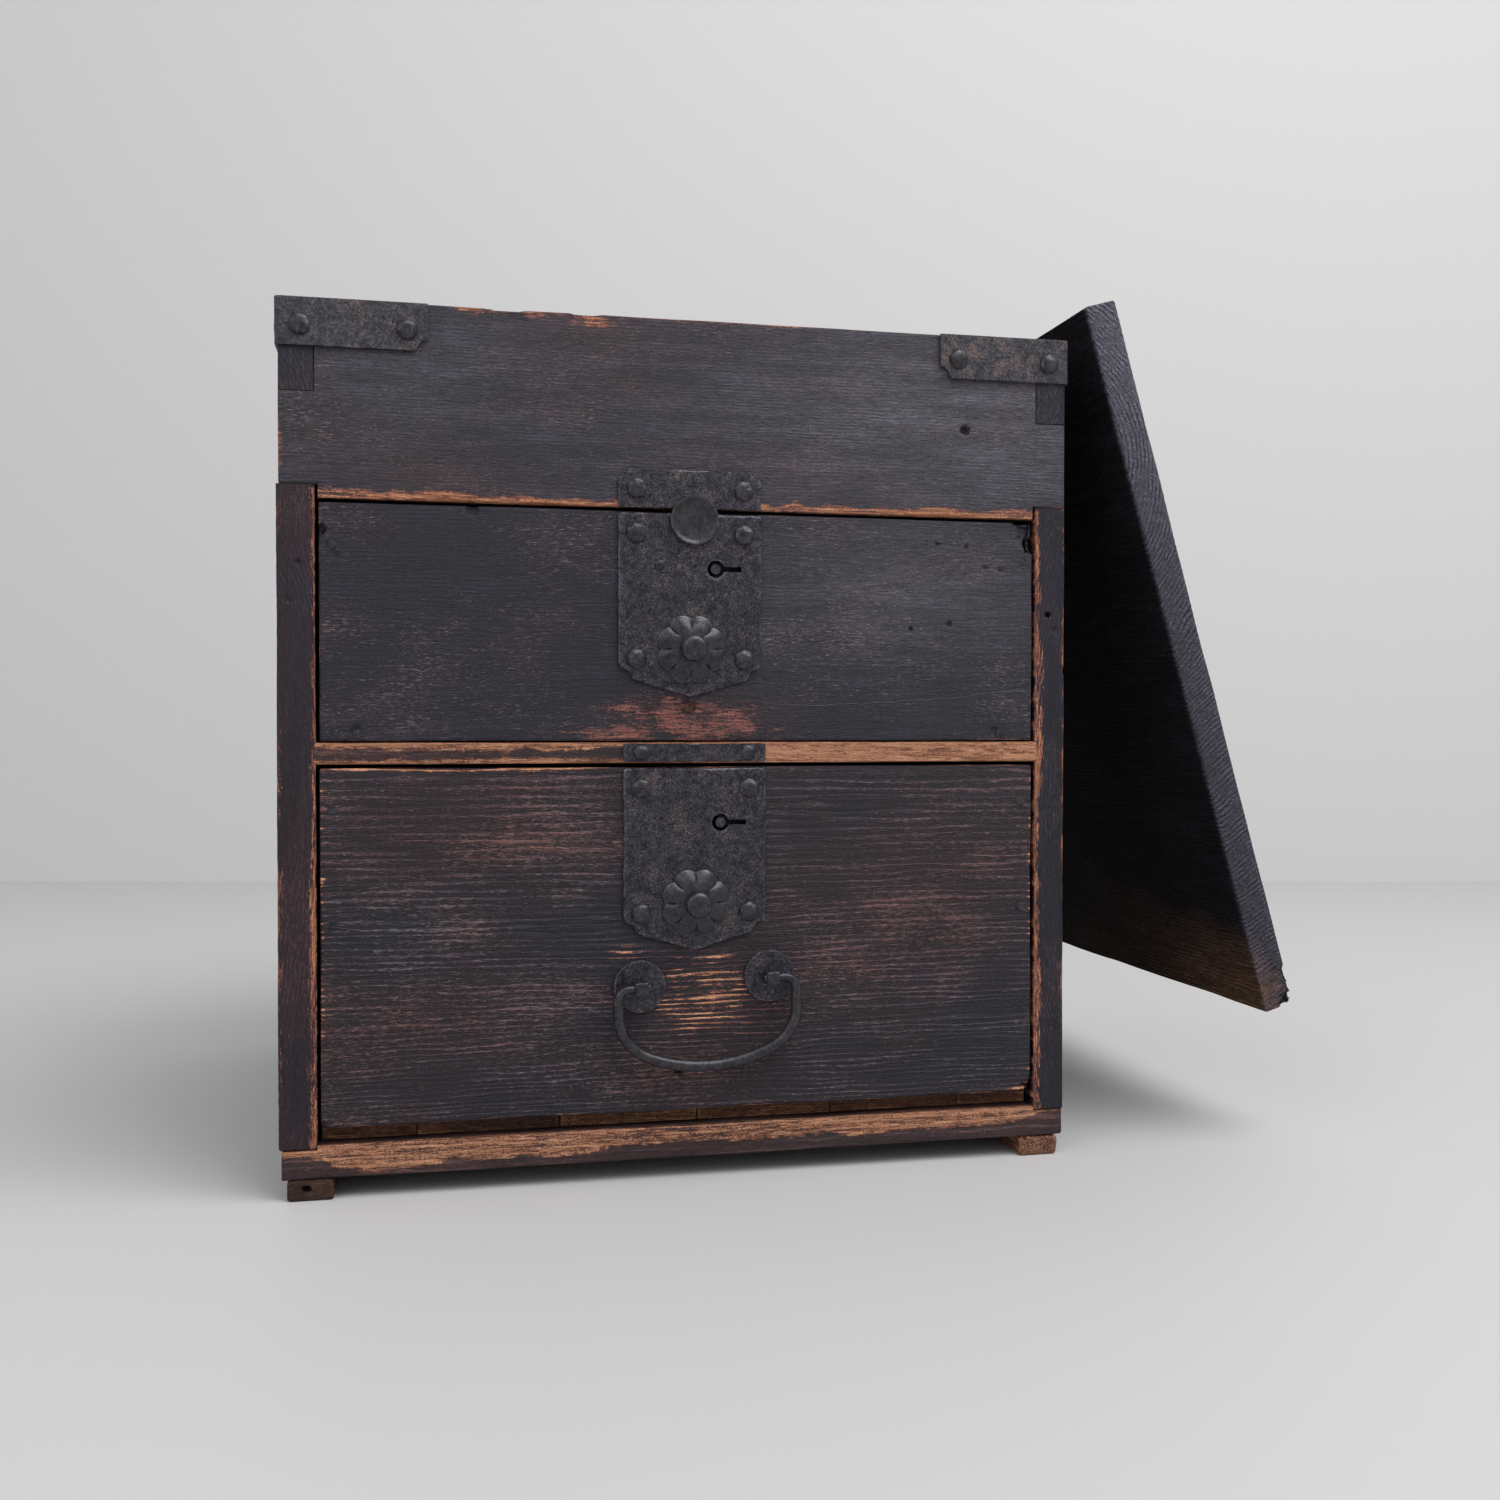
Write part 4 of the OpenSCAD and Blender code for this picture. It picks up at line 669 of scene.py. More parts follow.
woodBoard(
    "bottomBoard", "bottom_board", "case", wornEdgeWood, "worn_wood", 0, 5, cells=(2.2, 5, 0.9),
    heart=(100, -40), insets=bottomInsets, arris=1.6, relief=0.1, edgeWear=0.2, warmth=1.0,
    bands=[(0, 2, 1, 1, [(0, 20.8), (18, 20.4), (24, 16), (42, 12.6), (62, 13), (80, 16.3), (110, 16.1),
                         (150, 15.4), (160, 17.8), (200, 18), (260, 17.4), (330, 16.8), (366, 18.4),
                         (383, 21.5), (400, 24)], 0.75)],
    dents=[(148, 0, 20, 5, 0.7), (156, 0, 18, 4, 0.6), (140, 0, 19, 4, 0.5)])
woodBoard(
    "footLeft", "foot_left", "case", agedInnerWood, "bare_wood", 1, 6, cells=(1.1, 4, 1.1),
    heart=(14, -30), arris=2.2, wear=0.05, relief=0.1, warmth=-0.2, dents=[(11.7, 0, 5.9, 2.4, 4)])
woodBoard(
    "footRight", "foot_right", "case", wornEdgeWood, "bare_wood", 1, 7, cells=(1.1, 4, 1.1),
    heart=(387, -30), arris=2.6, wear=0.75, relief=0.15, dents=[(378, 0, 9, 4, 1.2), (397, 0, 3, 3, 0.8)])
woodBoard(
    "drawerRail", "drawer_rail", "case", wornEdgeWood, "bare_wood", 0, 8, cells=(1.8, 3, 0.9),
    heart=(60, 190), wear=0.3, edgeWear=0.3, relief=0.2, ringGap=2.6, warmth=0.6,
    pockets=[boltPocket(lowerLock, -1, 6.5)], dents=[(366, 0, 218, 2.5, 1)],
    bands=[(2, 0, 1, 1, [(200, 236), (230, 236)], 1.0), (0, 2, -1, 1, [(0, 211.8), (400, 212)], 0.55),
           (0, 2, 1, 1, [(0, 217.4), (100, 216.6), (170, 217.8), (400, 218)], 0.7)])
woodBoard("backUpper", "back_board_upper", "case", sootBlackWood, "worn_wood", 0, 9, cells=(4, 3, 1.6),
          heart=(500, 190), relief=0.2, ringGap=3.4)
woodBoard("backLower", "back_board_lower", "case", sootBlackWood, "worn_wood", 0, 10, cells=(4, 3, 1.6),
          heart=(460, 60), relief=0.2, ringGap=3.1)
woodBoard("trayFloor", "tray_floor", "case", agedInnerWood, "inner_wood", 0, 11, cells=(5, 2.2, 3),
          heart=(190, 260), relief=0.15, ringGap=3.4, wear=0.45)
for name, node, seed in (("runnerLeft", "runner_left", 12), ("runnerRight", "runner_right", 13)):
    woodBoard(name, node, "case", agedInnerWood, "inner_wood", 1, seed, cells=(2, 8, 2), heart=(60, 150),
              wear=0.4)

drawerLook = {"slatCuts": (63.5, 133.5, 203.5, 273.5, 343.5), "wear": 0.42, "boards": (
    ("left", 1, (2.4, 5, 1.8), (60, 60)), ("right", 1, (2.4, 5, 1.8), (330, 60)),
    ("back", 0, (5, 2.4, 1.8), (300, 40)))}  # each board's grain axis, cells and heart
for drawer, seed in (("upper", 20), ("lower", 30)):
    body = drawer + "_drawer"
    for piece, grain, cells, heart in drawerLook["boards"]:
        seed += 1
        woodBoard(drawer + piece.capitalize(), f"{body}_{piece}", body, agedInnerWood, "inner_wood", grain,
                  seed, cells=cells, heart=heart, ringGap=2.8, wear=drawerLook["wear"])
    boardRow(drawer + "Bottom", body + "_bottom", body, agedInnerWood, "inner_wood", 1, seed + 50,
             drawerLook["slatCuts"], cells=(2.2, 9, 1.5), heart=(200, -200), arris=0.5,
             wear=drawerLook["wear"], warmth=0.8, endLines=0.1, endRun=0)
woodBoard(
    "upperFront", "upper_drawer_front", "upper_drawer", sootBlackWood, "black_wood", 0, 25,
    cells=(2.2, 3.2, 1.1), heart=(-90, 180), ringGap=1.8, relief=0.08, arris=1.2, wear=0.12, warmth=0.0,
    faceLines=0.2,
    pockets=[(1, -1, (176.3, 287.0), (226.9, 321.0), 11.3), boltPocket(upperLock, 1, 13.2)],
    patches=[(205, 0, 224, 50, 6, 3, 0.15), (310, 0, 227, 70, 5, 8, 0.1)],
    stains=[(196, 0, 236, 44, 6, 8, 0.42), (180, 0, 226, 64, 6, 4, 0.28), (80, 0, 325, 20, 6, 6, 0.15),
            (300, 0, 330, 30, 6, 3, 0.1)],
    warmPatches=[(200, 0, 234, 55, 6, 13, 0.9), (60, 0, 322, 30, 6, 8, 0.4)],
    # dust and a painted sheen make the right part of the front paler
    dustPatches=[(310, 0, 300, 75, 6, 38, 0.6)],
    crack=[(234, 239.0), (257, 238.0), (292, 239.1), (338, 242.4), (360, 245.5), (382, 245.4)],
    dents=[(19.3, 0, 322.1, 3.4, 2.6), (25.4, 0, 310.6, 3.2, 0.6), (35.3, 0, 225.9, 3.2, 0.7),
           (90.7, 0, 334, 4, 1.4), (381, 0, 324, 6, 3.2), (382, 0, 335, 14, 2.2),
           (360.5, 0, 225.6, 3.2, 0.8), (329.1, 0, 323, 1.7, 1.2), (345.1, 0, 322.1, 1.6, 1),
           (355.8, 0, 310.9, 2.2, 1), (363.9, 0, 310.4, 2, 1), (335.8, 0, 281.5, 2, 1.3),
           (314.6, 0, 278.6, 1.6, 1.5), (198.4, 0, 237.7, 5, 1.2)])
woodBoard(
    "lowerFront", "lower_drawer_front", "lower_drawer", ridgedBlackWood, "black_wood", 0, 35,
    cells=(2.1, 3, 1.05), heart=(20, -260), ringGap=3.3, drift=-0.0011, relief=0.35, arris=1.4, wear=0.15,
    warmth=0.55, crack=[(20, 130.8), (30, 130.2), (44, 127.9)],
    pockets=[(1, -1, (178.7, 160.0), (229.3, 193.5), 11.3), boltPocket(lowerLock, 1, 13.2)],
    bands=[(0, 2, 1, 1, [(18, 206), (100, 205.6), (150, 206.4), (165, 209), (300, 209), (382, 207)], 0.3)],
    patches=[(206, 0, 92, 25, 6, 22, 0.5), (163, 0, 114, 12, 5, 5, 0.2), (125, 0, 167, 10, 5, 4, 0.16),
             (133, 0, 127, 10, 5, 4, 0.16), (133, 0, 105, 8, 5, 4, 0.18), (70, 0, 56, 18, 5, 6, 0.15),
             (262, 0, 180, 16, 5, 18, 0.12), (19, 0, 120, 2, 4, 80, 0.4), (382, 0, 170, 2, 4, 30, 0.4),
             (380, 0, 38, 8, 5, 8, 0.35), (330, 0, 34.4, 40, 4, 2, 0.3)],
    warmPatches=[(70, 0, 178, 45, 6, 24, 0.5), (74, 0, 75, 40, 6, 30, 0.4), (298, 0, 159, 45, 6, 35, 0.5),
                 (309, 0, 86, 40, 6, 25, 0.3), (55, 0, 129, 30, 6, 20, -0.6), (353, 0, 60, 38, 6, 34, -0.7)],
    dents=[(192.5, 0, 53.3, 2.6, 2.2), (384, 0, 34, 10, 2.4), (19, 0, 34, 5, 1)])

pegLook = {"radius": 3.1, "length": 14.8, "wear": 0.4, "at": (198.4, 0, 237.7)}
cornerPegLook = {"radius": 1.9, "length": 6.0, "wear": 0.6, "at": (374, 0.6, 323.8)}


def turnedShape(profile, around, radiusOf=None):
    # a profile of (radius, height) turned round the outward axis; radiusOf gives the share of the radius at
    # each angle
    profile = np.array(profile, float)
    angle = np.linspace(0, 2 * np.pi, around, endpoint=False)
    share = np.ones(around) if radiusOf is None else radiusOf(angle)
    rows = np.stack([profile[:, :1] * share * np.cos(angle), profile[:, :1] * share * np.sin(angle),
                     np.repeat(profile[:, 1:], around, axis=1)], -1)
    return loopSkin(rows)


def woodenPeg(look):
    # a whittled plug: its outline a little uneven, its end crushed, the grain running into the board
    radius = look["radius"]
    profile = [(radius, -look["length"]), (radius, -0.9), (radius * 0.93, -0.35), (radius * 0.7, -0.2),
               (radius * 0.3, -0.3)]
    points, faces = turnedShape(profile, 24, lambda angle: 1 - 0.05 * (1 + np.cos(3 * angle + 1)))
    points[:, 2] += 0.2 * softNoise(points, 1.5, 90)
    layers = {layer: np.zeros(len(points)) for layer in woodLayers}
    layers["wear"] += look["wear"]
    layers["crack"] += farFromCrack
    layers["fibre"] = points[:, [2, 0, 1]] * mm
    return points, faces, layers


for name, look, nodes in (("woodPeg", pegLook, ["upper_drawer_peg"]), ("cornerPeg", cornerPegLook, [])):
    points, faces, layers = woodenPeg(look)
    shape = points @ np.array([(1, 0, 0), (0, 0, 1), (0, -1, 0)], float) + look["at"], faces
    makePiece(name, shape, "upper_drawer", agedInnerWood, nodes, layers)

# corners of the closed lid, the hinge's (x, z), and how many degrees it is open at rest
lidLook = {"extent": ((4, 0, 432.3), (399.6, 375, 449.9)), "pivot": (405, 454.9), "angle": 254.1}


def swungOpen(points):
    # turns a shape that is drawn with the lid closed by the hinge's angle about its pivot
    turn = math.radians(lidLook["angle"])
    x, z = points[:, 0] - lidLook["pivot"][0], points[:, 2] - lidLook["pivot"][1]
    return np.stack([x * math.cos(turn) + z * math.sin(turn) + lidLook["pivot"][0], points[:, 1],
                     z * math.cos(turn) - x * math.sin(turn) + lidLook["pivot"][1]], 1)


# the lid carries painted shade: its finish is near black with almost no specular
woodBoard(
    "lidBoard", "lid_board", "lid", paintedShadeBlackWood, "black_wood", 1, 40, extent=lidLook["extent"],
    swing=swungOpen, cells=(1.4, 4.8, 1.4), heart=(330, 520), relief=0.2, arris=1.6, endLines=1.0,
    warmth=-0.5, wear=0.06, edgeWear=0.15,
    patches=[(20, 0, 441, 6, 4, 14, 0.75), (4, 0, 440, 4, 40, 8, 0.2)],
    warmPatches=[(5, 20, 450, 55, 110, 12, 1.35), (0, 220, 450, 70, 200, 12, 0.65)],
    # dust and a painted sheen make the lid's end paler, most near the hinge
    dustPatches=[(400, 0, 440, 120, 2.5, 60, 0.4), (170, 0, 440, 330, 2.5, 60, 0.3),
                 (200, 375, 440, 500, 6, 60, 0.25), (200, 190, 428, 500, 500, 7, 0.24)],
    dents=[(4, 0, 433, 10, 3), (22, 0, 433, 5, 1.4), (15, 0, 434, 4, 1.2), (26, 0, 440, 4, 0.8)])
print("boards made")


# Ironwork

def facing(side, x, y, z):
    # turns local (right, up, outward) points into a place on that side of the case
    axes = {"front": ((1, 0, 0), (0, 0, 1), (0, -1, 0)), "back": ((-1, 0, 0), (0, 0, 1), (0, 1, 0)),
            "left": ((0, -1, 0), (0, 0, 1), (-1, 0, 0)), "right": ((0, 1, 0), (0, 0, 1), (1, 0, 0))}[side]
    return lambda points: points @ np.array(axes, float) + (x, y, z)


def moved(shape, place):
    return place(shape[0]), shape[1]


# heads of nails: how uneven the outline is, and how many flats the hammer left round it
domeNail = {"radius": 5.1, "height": 2.7, "uneven": 0.03, "facets": 7}
smallNail = {"radius": 3.9, "height": 1.9, "uneven": 0.035, "facets": 6}
flatNail = {"radius": 5.1, "height": 0.8, "uneven": 0.05, "facets": 7}
rivetNail = {"radius": 2.4, "height": 1.0, "uneven": 0.04, "facets": 5}


def hammeredNail(look, seed):
    # a domed head: a quarter of an ellipse turned, its rim off the plate by a hair, with an outline and a
    # skin a little uneven from the hammer
    draw = np.random.default_rng(seed)
    radius, rimZ = look["radius"], 0.3
    slope = np.linspace(0, np.pi / 2, 9)[:-1]
    dome = np.column_stack([radius * np.cos(slope), rimZ + (look["height"] - rimZ) * np.sin(slope)])
    profile = [(radius * 0.84, -0.2), (radius * 0.86, 0.1), *dome]
    phase, lean = draw.uniform(0, 6.3, 2)
    points, faces = turnedShape(profile, 28, lambda a: 1 + look["uneven"] * (
        np.cos(look["facets"] * a + phase) * 0.5 + np.cos(2 * a + lean) * 0.6))
    points[:, 2] *= 1 + 0.16 * softNoise(points + seed * 9, 2.2, seed)
    points[:, 2] = np.minimum(points[:, 2], look["height"])
    return points, faces


def nailRow(name, node, body, places):
    # places are (look, side, x, y, z), on the metal's face
    shapes = [moved(hammeredNail(look, 11 * number + 3), facing(*place))
              for number, (look, *place) in enumerate(places)]
    return makePiece(name, joined(shapes), body, handledIron, [node])


def outlineLoop(corners, count, centre):
    # points of the outline at even angles round a centre that sees all of it: each is the nearest place
    # where a ray from the centre cuts an edge
    corners = np.array(corners, float) - centre
    following = np.roll(corners, -1, axis=0)
    angle = np.linspace(0, 2 * np.pi, count, endpoint=False)
    ray = np.stack([np.cos(angle), np.sin(angle)], -1)[:, None]
    edge = following - corners
    cross = ray[..., 0] * edge[:, 1] - ray[..., 1] * edge[:, 0]
    cross = np.where(np.abs(cross) < 1e-9, 1e-9, cross)
    far = (corners[:, 0] * edge[:, 1] - corners[:, 1] * edge[:, 0]) / cross
    share = (corners[:, 0] * ray[..., 1] - corners[:, 1] * ray[..., 0]) / cross
    good = (far > 0) & (share >= -1e-6) & (share <= 1 + 1e-6)
    far = np.where(good, far, np.inf).min(1)
    return ray[:, 0] * far[:, None] + centre


plateLook = {"thickness": 1.6, "bevel": 0.55, "ragged": 0.25, "undercut": 0.9, "rimLift": 0.45, "wave": 0.14}


def platePiece(look, outline, centre, seed, hole=None):
    # a flat iron plate: rings of points from the hole or the middle out to the outline, round the bevelled
    # edge, under the lifted rim and back, the front a little wavy
    around, rows, hubShare = 360, 30, 0.03
    rim = outlineLoop(outline, around, centre)
    hub = rim * 0 + centre if hole is None else outlineLoop(hole, around, centre)
    inward = np.array(centre) - rim
    inward /= np.linalg.norm(inward, axis=1, keepdims=True)
    uneven = 1 + softNoise(np.column_stack([rim, rim[:, 0] * 0]), 3.5, seed + 1)
    rim = rim + inward * look["ragged"] * uneven[:, None]
    shares = np.linspace(hubShare if hole is None else 0, 1, rows)

    def ring(inset, share, z):
        return np.column_stack([hub + (rim + inward * inset - hub) * share, np.full(around, z)])

    back = [ring(look["undercut"], share, 0) for share in shares]
    edge = [ring(0, 1, z) for z in (look["rimLift"], look["thickness"] - look["bevel"])]
    front = [ring(look["bevel"], share, look["thickness"]) for share in shares[::-1]]
    stack = np.array(back + edge + front)
    top = stack[..., 2] > look["thickness"] * 0.9
    wave = look["wave"] * (softNoise(stack.reshape(-1, 3), (14, 14, 50), seed) - 1).reshape(top.shape)
    stack[..., 2] += np.where(top, wave, 0)
    return loopSkin(stack, closed=hole is not None)


def mirrored(rightHalf):
    # an outline from its right half, upwards
    return rightHalf + [(-x, z) for x, z in rightHalf[::-1] if x]


lockLook = {"keyhole": (12.9, -27.5), "keyholeR": 4.4, "slotEnd": 13.2, "slotHalf": 1.3, "nailX": 27.5,
            "nailDrops": (10.2, 73.0), "knobDrop": 68.0,
            "rivets": {"upper": (-15.5, -26), "lower": (1.7, -5.5)}}
lockOutline = mirrored([(0, -92), (29, -83.4), (30.4, -81.2), (31.2, -79.2), (33.2, -78.2), (35.6, -77),
                        (36.5, -74.3), (36.5, -0.9), (35.6, 0)])


def keyholeOutline(look):
    # a circle with a slot to the right
    start = math.asin(look["slotHalf"] / look["keyholeR"])
    turn = np.linspace(start, 2 * np.pi - start, 40)
    circle = np.stack([np.cos(turn), np.sin(turn)], 1) * look["keyholeR"]
    slot = [(look["slotEnd"], -look["slotHalf"]), (look["slotEnd"], look["slotHalf"])]
    return np.vstack([circle, slot]) + look["keyhole"]


locks = (("upper", upperLock), ("lower", lowerLock))
plateFace = -plateLook["thickness"]
for seed, (drawer, lock) in enumerate(locks, 51):
    shape = platePiece(plateLook, lockOutline, lockLook["keyhole"], seed, keyholeOutline(lockLook))
    makePiece(drawer + "LockPlate", moved(shape, facing("front", lock[0], 0, lock[1])), drawer + "_drawer",
              blackIron, [drawer + "_lock_plate"])
    nails = [(domeNail, "front", lock[0] + side * lockLook["nailX"], plateFace, lock[1] - drop)
             for side in (-1, 1) for drop in lockLook["nailDrops"]]
    x, z = lockLook["rivets"][drawer]
    nails.append((rivetNail, "front", lock[0] + x, plateFace, lock[1] + z))
    nailRow(drawer + "PlateNails", drawer + "_plate_nails", drawer + "_drawer", nails)

keeperLook = {
    "upper": {"z": lipZ, "middle": 9.0, "nail": domeNail, "nailZ": 346.75, "outline": mirrored(
        [(36.5, 0), (36.5, 13.5), (35.4, 15.6), (33, 16.4), (31.8, 17.6), (31.2, 19.2), (30.4, 19.5)])},
    "lower": {"z": 210.3, "middle": 4.6, "nail": smallNail, "nailZ": 214.9, "outline": mirrored(
        [(36.5, 0), (36.5, 9.2)])},
    "nailX": 27.2}
nails = []
for seed, (drawer, lock) in enumerate(locks, 53):
    look = keeperLook[drawer]
    shape = platePiece(plateLook, look["outline"], (0, look["middle"]), seed)
    makePiece(drawer + "Keeper", moved(shape, facing("front", lock[0], 0, look["z"])), "case", blackIron,
              [drawer + "_keeper"])
    nails += [(look["nail"], "front", lock[0] + side * keeperLook["nailX"], plateFace, look["nailZ"])
              for side in (-1, 1)]
nailRow("keeperNails", "keeper_nails", "case", nails)

# slope and roundness are powers: of the rise from the rim, and of a petal's swell beside its crease
flowerLook = {"radius": 17.4, "petal": 6.8, "petals": 8, "height": 4.9, "rim": 1.1, "slope": 3.0,
              "crease": 0.7, "roundness": 0.35, "hub": 0.12}


def flowerWasher(look):
    # polar grid: the outline is the far side of circles set round the hub, the face rises like a shallow dome
    # from a thin rim, and a crease between two petals runs in and fades out
    angle = np.linspace(0, 2 * np.pi, 240, endpoint=False) + np.pi / 2
    step = 2 * np.pi / look["petals"]
    off = (angle - np.pi / 2) % step - step / 2
    reach = look["radius"] - look["petal"]
    edge = reach * np.cos(off) + np.sqrt(look["petal"] ** 2 - (reach * np.sin(off)) ** 2)
    t = np.linspace(1, look["hub"], 30)[:, None]  # from the rim in to the hub, as shares of the outline
    radius = edge * t
    swell = np.abs(np.cos(off / step * np.pi)) ** look["roundness"]  # 1 along a petal, 0 in the crease
    crease = 1 - (1 - swell) * smoothStep(t, 0.55, 0.95) * look["crease"]
    height = look["rim"] + (look["height"] - look["rim"]) * (1 - t ** look["slope"]) * crease
    front = np.stack([radius * np.cos(angle), radius * np.sin(angle), height], -1)
    front[..., 2] += 0.12 * softNoise(front.reshape(-1, 3), 3, 33).reshape(front.shape[:2]) * (t < 0.99)
    under = [np.stack([edge * share * np.cos(angle), edge * share * np.sin(angle), edge * 0 + lift], -1)[None]
             for share, lift in ((0.93, 0), (0.995, 0.5))]
    return loopSkin(np.concatenate([*under, front]))


knobProfile = [(5.9, -0.1), (5.9, 0.6), (5.5, 1.2), (5.3, 2.4), (5.45, 4.4), (5.9, 6.2), (6.35, 7.2),
               (6.6, 8.2), (6.6, 9.3), (6.35, 10.3), (5.7, 11.1), (4.6, 11.6), (3.0, 11.9), (1.2, 12.0)]
for drawer, lock in locks:
    z = lock[1] - lockLook["knobDrop"]
    makePiece(drawer + "KnobWasher", moved(flowerWasher(flowerLook), facing("front", lock[0], plateFace, z)),
              drawer + "_drawer", oiledIron, [drawer + "_knob_washer"])
    knob = moved(turnedShape(knobProfile, 48), facing("front", lock[0], 2 * plateFace, z))
    makePiece(drawer + "Knob", knob, drawer + "_drawer", oiledIron, [drawer + "_knob"])

discLook = {"right": 1.8, "down": 3.6, "gap": 0.3, "profile": [
    (4, -0.3), (4, 0), (11.9, 0), (12.4, 0.5), (12.4, 1.9), (12.1, 2.35), (11.6, 2.4), (11.1, 2.2),
    (10.6, 1.6), (9.6, 1.25), (7, 1.1), (3, 1.0)]}
place = facing("front", upperLock[0] + discLook["right"], plateFace - discLook["gap"],
               upperLock[1] - discLook["down"])
makePiece("stopDisc", moved(turnedShape(discLook["profile"], 72), place), "upper_drawer", oiledIron,
          ["stop_disc"])

cornerLook = {"thickness": 1.5, "leg": 70.0, "height": 23.0, "bend": 2.6, "nails": (10, 60), "nailZ": 419.0,
              "stepEnd": 3.5, "cutEnd": 6.0, "cutRise": 4.5, "stepRise": 6.0, "stepSlope": 0.43}


def cornerIron(look, rightSide, backSide, seed):
    # a strap carried round the corner: along it the front leg, a round bend and the side leg; the far lower
    # corner of each leg is cut in two steps
    half = look["leg"] + look["thickness"]
    stepEnd, cutEnd, arris = look["stepEnd"], look["cutEnd"], 0.35
    steps = (cutEnd - half, stepEnd - half, half - cutEnd, half - stepEnd)
    lines = [latticeLines(-half, half, 1.6, 0.4, steps), latticeLines(-look["height"], 0, 1.4, 0.4),
             latticeLines(0, look["thickness"], 0.5, arris)]
    points, quads = blockSkin(lines)
    fromEnd = half - np.abs(points[:, 0])
    slant = look["cutRise"] * (cutEnd - fromEnd) / (cutEnd - stepEnd)
    cut = np.where(fromEnd < stepEnd, look["stepRise"] - fromEnd * look["stepSlope"], slant)
    cut = np.where(fromEnd < cutEnd, cut, 0)
    low = np.column_stack([np.full(len(points), -half), -look["height"] + cut, np.zeros(len(points))])
    high = np.array([half, 0, look["thickness"]])
    points[:, 1] = low[:, 1] - (points[:, 1] + look["height"]) / look["height"] * low[:, 1]
    points, away = rounded(points, low, high, arris)
    points[:, 2] += 0.1 * (softNoise(points, 16, seed) - 1) * (away[:, 2] > 0.5)
    # the bend is a quarter turn of the strap's middle line about a centre just inside the corner
    along, up, out = points.T
    bend = look["bend"]
    turn = (np.clip(along / bend, -1, 1) + 1) * np.pi / 4
    centre = bend - look["thickness"]
    x, y = centre - (centre + out) * np.sin(turn), centre - (centre + out) * np.cos(turn)
    x = np.where(along < -bend, centre - along - bend, np.where(along > bend, -out, x))
    y = np.where(along < -bend, -out, np.where(along > bend, centre + along - bend, y))
    shape = np.column_stack([caseW - x if rightSide else x, caseD - y if backSide else y, up + caseH])
    return shape, [quads[:, ::-1] if rightSide == backSide else quads]


for number, (side, edge) in enumerate((s, e) for e in ("front", "back") for s in ("left", "right")):
    shape = cornerIron(cornerLook, side == "right", edge == "back", 60 + number)
    makePiece(f"cornerIron{edge.capitalize()}{side.capitalize()}", shape, "case", dustyIron,
              [f"corner_iron_{edge}_{side}"])
nails = []
faceOut, nailZ = cornerLook["thickness"], cornerLook["nailZ"]
for near in cornerLook["nails"]:
    for x in (near, caseW - near):
        nails += [(domeNail, "front", x, -faceOut, nailZ), (domeNail, "back", x, caseD + faceOut, nailZ)]
    for y in (near, caseD - near):
        nails += [(flatNail, "left", -faceOut, y, nailZ), (flatNail, "right", caseW + faceOut, y, nailZ)]
nailRow("cornerIronNails", "corner_iron_nails", "case", nails)

handleLook = {"at": (205.9, -7.4, 99.4), "slope": 2.75, "pivot": 33.3, "bendX": 39.4, "corner": 6.0,
              "flank": 7.5, "turn": 23.0, "turnAngle": 66.0, "thin": 1.9, "thick": 2.9, "eye": 6.8,
              "shank": 6.0, "arris": 0.9, "rosette": [
                  (12.9, 0), (13.2, 0.3), (13.2, 0.9), (12.9, 1.3), (12.2, 1.4), (11, 1.25), (8, 1.15),
                  (3, 1.15)]}


def onHandle(points):
    # from the handle's own level frame (right, back, up) to its sloping place on the drawer
    turn = math.radians(handleLook["slope"])
    x, y, z = points.T
    across, up = x * math.cos(turn) - z * math.sin(turn), z * math.cos(turn) + x * math.sin(turn)
    return np.column_stack([across, y, up]) + handleLook["at"]


def arc(centre, radius, start, end, count):
    angle = np.radians(np.linspace(start, end, count))
    return np.column_stack([centre[0] + radius * np.cos(angle), centre[1] + radius * np.sin(angle)])


def bailPath(look):
    # middle line of the right half: out of the eye, down the bend and the flank, round the turn and along
    # the belly to the middle, then mirrored
    side = look["bendX"] + look["corner"]
    turnCentre = (side - look["turn"], -look["corner"] - look["flank"])
    belly = turnCentre[0] / math.cos(math.radians(look["turnAngle"])) + look["turn"]
    bellyZ = turnCentre[1] + (belly - look["turn"]) * math.sin(math.radians(look["turnAngle"]))
    parts = [np.column_stack([np.linspace(look["pivot"] - 4, look["bendX"], 6)[:-1], np.zeros(5)]),
             arc((look["bendX"], -look["corner"]), look["corner"], 90, 0, 12),
             np.column_stack([np.full(5, side), np.linspace(-look["corner"], turnCentre[1], 7)[1:-1]]),
             arc(turnCentre, look["turn"], 0, -look["turnAngle"], 24),
             arc((0, bellyZ), belly, -look["turnAngle"], -90, 24)[1:]]
    half = np.vstack(parts)
    return np.vstack([half, (half * (-1, 1))[-2::-1]])


def bailShape(look):
    # a round rod carried along the path: thin at the eyes and thick in the middle of the belly
    path = bailPath(look)
    step = np.gradient(path, axis=0)
    step /= np.linalg.norm(step, axis=1, keepdims=True)
    length = np.append(0, np.cumsum(np.linalg.norm(np.diff(path, axis=0), axis=1)))
    place = np.sin(np.pi * length / length[-1])
    radius = look["thin"] + (look["thick"] - look["thin"]) * smoothStep(place, 0.06, 0.5)
    angle = np.linspace(0, 2 * np.pi, 20, endpoint=False)
    normal = np.column_stack([step[:, 1], -step[:, 0]])
    flat = path[:, None] + normal[:, None] * (radius[:, None] * np.cos(angle))[..., None]
    rows = np.stack([flat[..., 0], radius[:, None] * np.sin(angle), flat[..., 1]], -1)
    rows[..., 1] += 0.1 * softNoise(rows.reshape(-1, 3), 9, 71).reshape(rows.shape[:2])
    return loopSkin(rows)


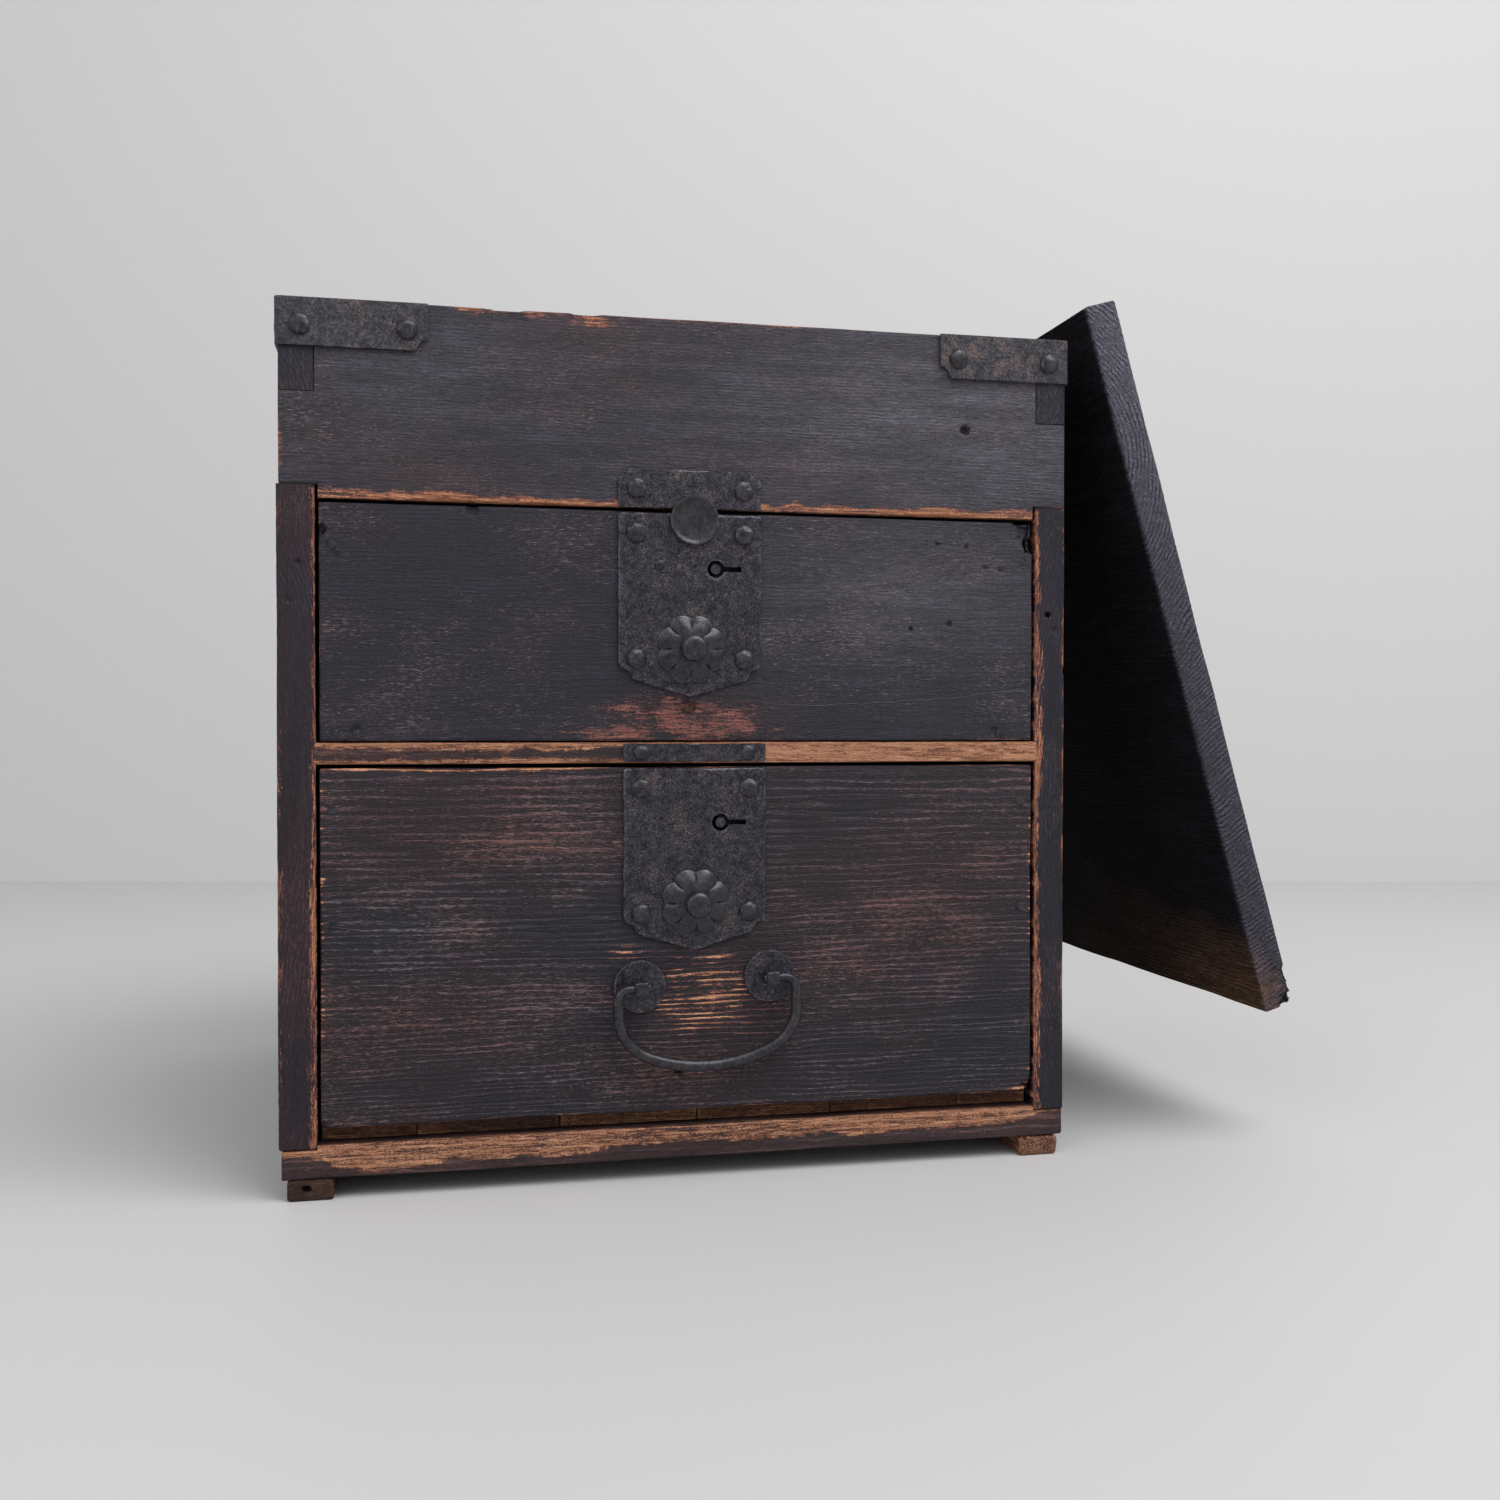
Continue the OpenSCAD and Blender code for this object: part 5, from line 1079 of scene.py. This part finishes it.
makePiece("handleBail", moved(bailShape(handleLook), onHandle), "handle", oiledIron,
          ["handle_bail"])
eyes, rosettes = [], []
for side in (-1, 1):
    half, arris, x = handleLook["eye"] / 2, handleLook["arris"], side * handleLook["pivot"]
    low, high = np.array([x - half, -half, -half]), np.array([x + half, handleLook["shank"], half])
    points, quads = blockSkin([latticeLines(low[i], high[i], 1.2, arris) for i in range(3)])
    eyes.append((onHandle(rounded(points, low, high, arris)[0]), [quads]))
    x, y, z = onHandle(np.array([[x, -handleLook["at"][1], 0]]))[0]
    rosettes.append(moved(turnedShape(handleLook["rosette"], 64), facing("front", x, 0, z)))
makePiece("handleEyes", joined(eyes), "lower_drawer", oiledIron, ["handle_eyes"])
makePiece("handleRosettes", joined(rosettes), "lower_drawer", blackIron,
          ["handle_rosettes"])
print("ironwork made")

# CAD nodes that keep their own shape: they are hidden, or too small to show more
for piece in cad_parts.values():
    if not piece.hide_render:
        piece.data.materials.clear()
        piece.data.materials.append(blackIron)


# Stage, light and camera

# the photograph's camera, in mm from the case's corner and in degrees; the room, in metres; the lamps
viewLook = {"eye": (69.4, -744.65, 228.05), "yaw": 12.11, "pitch": -0.9, "roll": -0.02, "lens": 36,
            "sensor": 36}
roomLook = {"wallAt": 2.206, "halfWidth": 5, "depth": 7, "height": 4, "wallColour": "#cacaca",
            "floorColour": "#bebdbd", "airColour": "#f2f2f3", "airStrength": 0.8}
lampLook = {"keyLight": {"at": (0.9, -1.2, 2.5), "size": 1.9, "power": 62},
            "fillLight": {"at": (-1.5, -1.8, 1.8), "size": 1.4, "power": 10}}
lampAim = (0, 0, 0.2)
yaw, pitch = math.radians(viewLook["yaw"]), math.radians(viewLook["pitch"])
ahead = np.array([math.sin(yaw), math.cos(yaw), 0])
aside = np.array([math.cos(yaw), -math.sin(yaw), 0]) * roomLook["halfWidth"]
eye = (np.array(viewLook["eye"]) + caseCorner) * mm


def plainMaterial(name, colour, rough):
    material, tree, shader = newMaterial(name)
    shader.inputs["Base Color"].default_value = linearColour(colour)
    shader.inputs["Roughness"].default_value = rough
    return material


def stageSheet(name, corners, material):
    mesh = bpy.data.meshes.new(name)
    mesh.from_pydata([tuple(corner) for corner in corners], [], [(0, 1, 2, 3)])
    mesh.materials.append(material)
    sheet = bpy.data.objects.new(name, mesh)
    scene.collection.objects.link(sheet)


far = eye * (1, 1, 0) + ahead * roomLook["wallAt"]
near = far - ahead * roomLook["depth"]
top = far + (0, 0, roomLook["height"])
stageSheet("floor", [near - aside, near + aside, far + aside, far - aside],
           plainMaterial("pale_painted_floor", roomLook["floorColour"], 0.6))
stageSheet("wall", [far - aside, far + aside, top + aside, top - aside],
           plainMaterial("pale_plaster_wall", roomLook["wallColour"], 0.9))

world = bpy.data.worlds.new("paleRoom")
scene.world = world
world.use_nodes = True
room = world.node_tree.nodes["Background"]
room.inputs["Color"].default_value = linearColour(roomLook["airColour"])
room.inputs["Strength"].default_value = roomLook["airStrength"]

for name, look in lampLook.items():
    lamp = bpy.data.lights.new(name, "AREA")
    lamp.size, lamp.energy = look["size"], look["power"]
    light = bpy.data.objects.new(name, lamp)
    light.location = look["at"]
    x, y, z = np.subtract(lampAim, look["at"])
    light.rotation_euler = (math.atan2(math.hypot(x, y), -z), 0, math.atan2(-x, y))
    scene.collection.objects.link(light)

lens = bpy.data.cameras.new("photoCamera")
lens.lens, lens.sensor_width = viewLook["lens"], viewLook["sensor"]
camera = bpy.data.objects.new("photoCamera", lens)
camera.location = eye
camera.rotation_euler = (math.pi / 2 + pitch, math.radians(viewLook["roll"]), -yaw)
scene.collection.objects.link(camera)
scene.camera = camera
scene.view_settings.view_transform = "Standard"
print("stage, light and camera made")
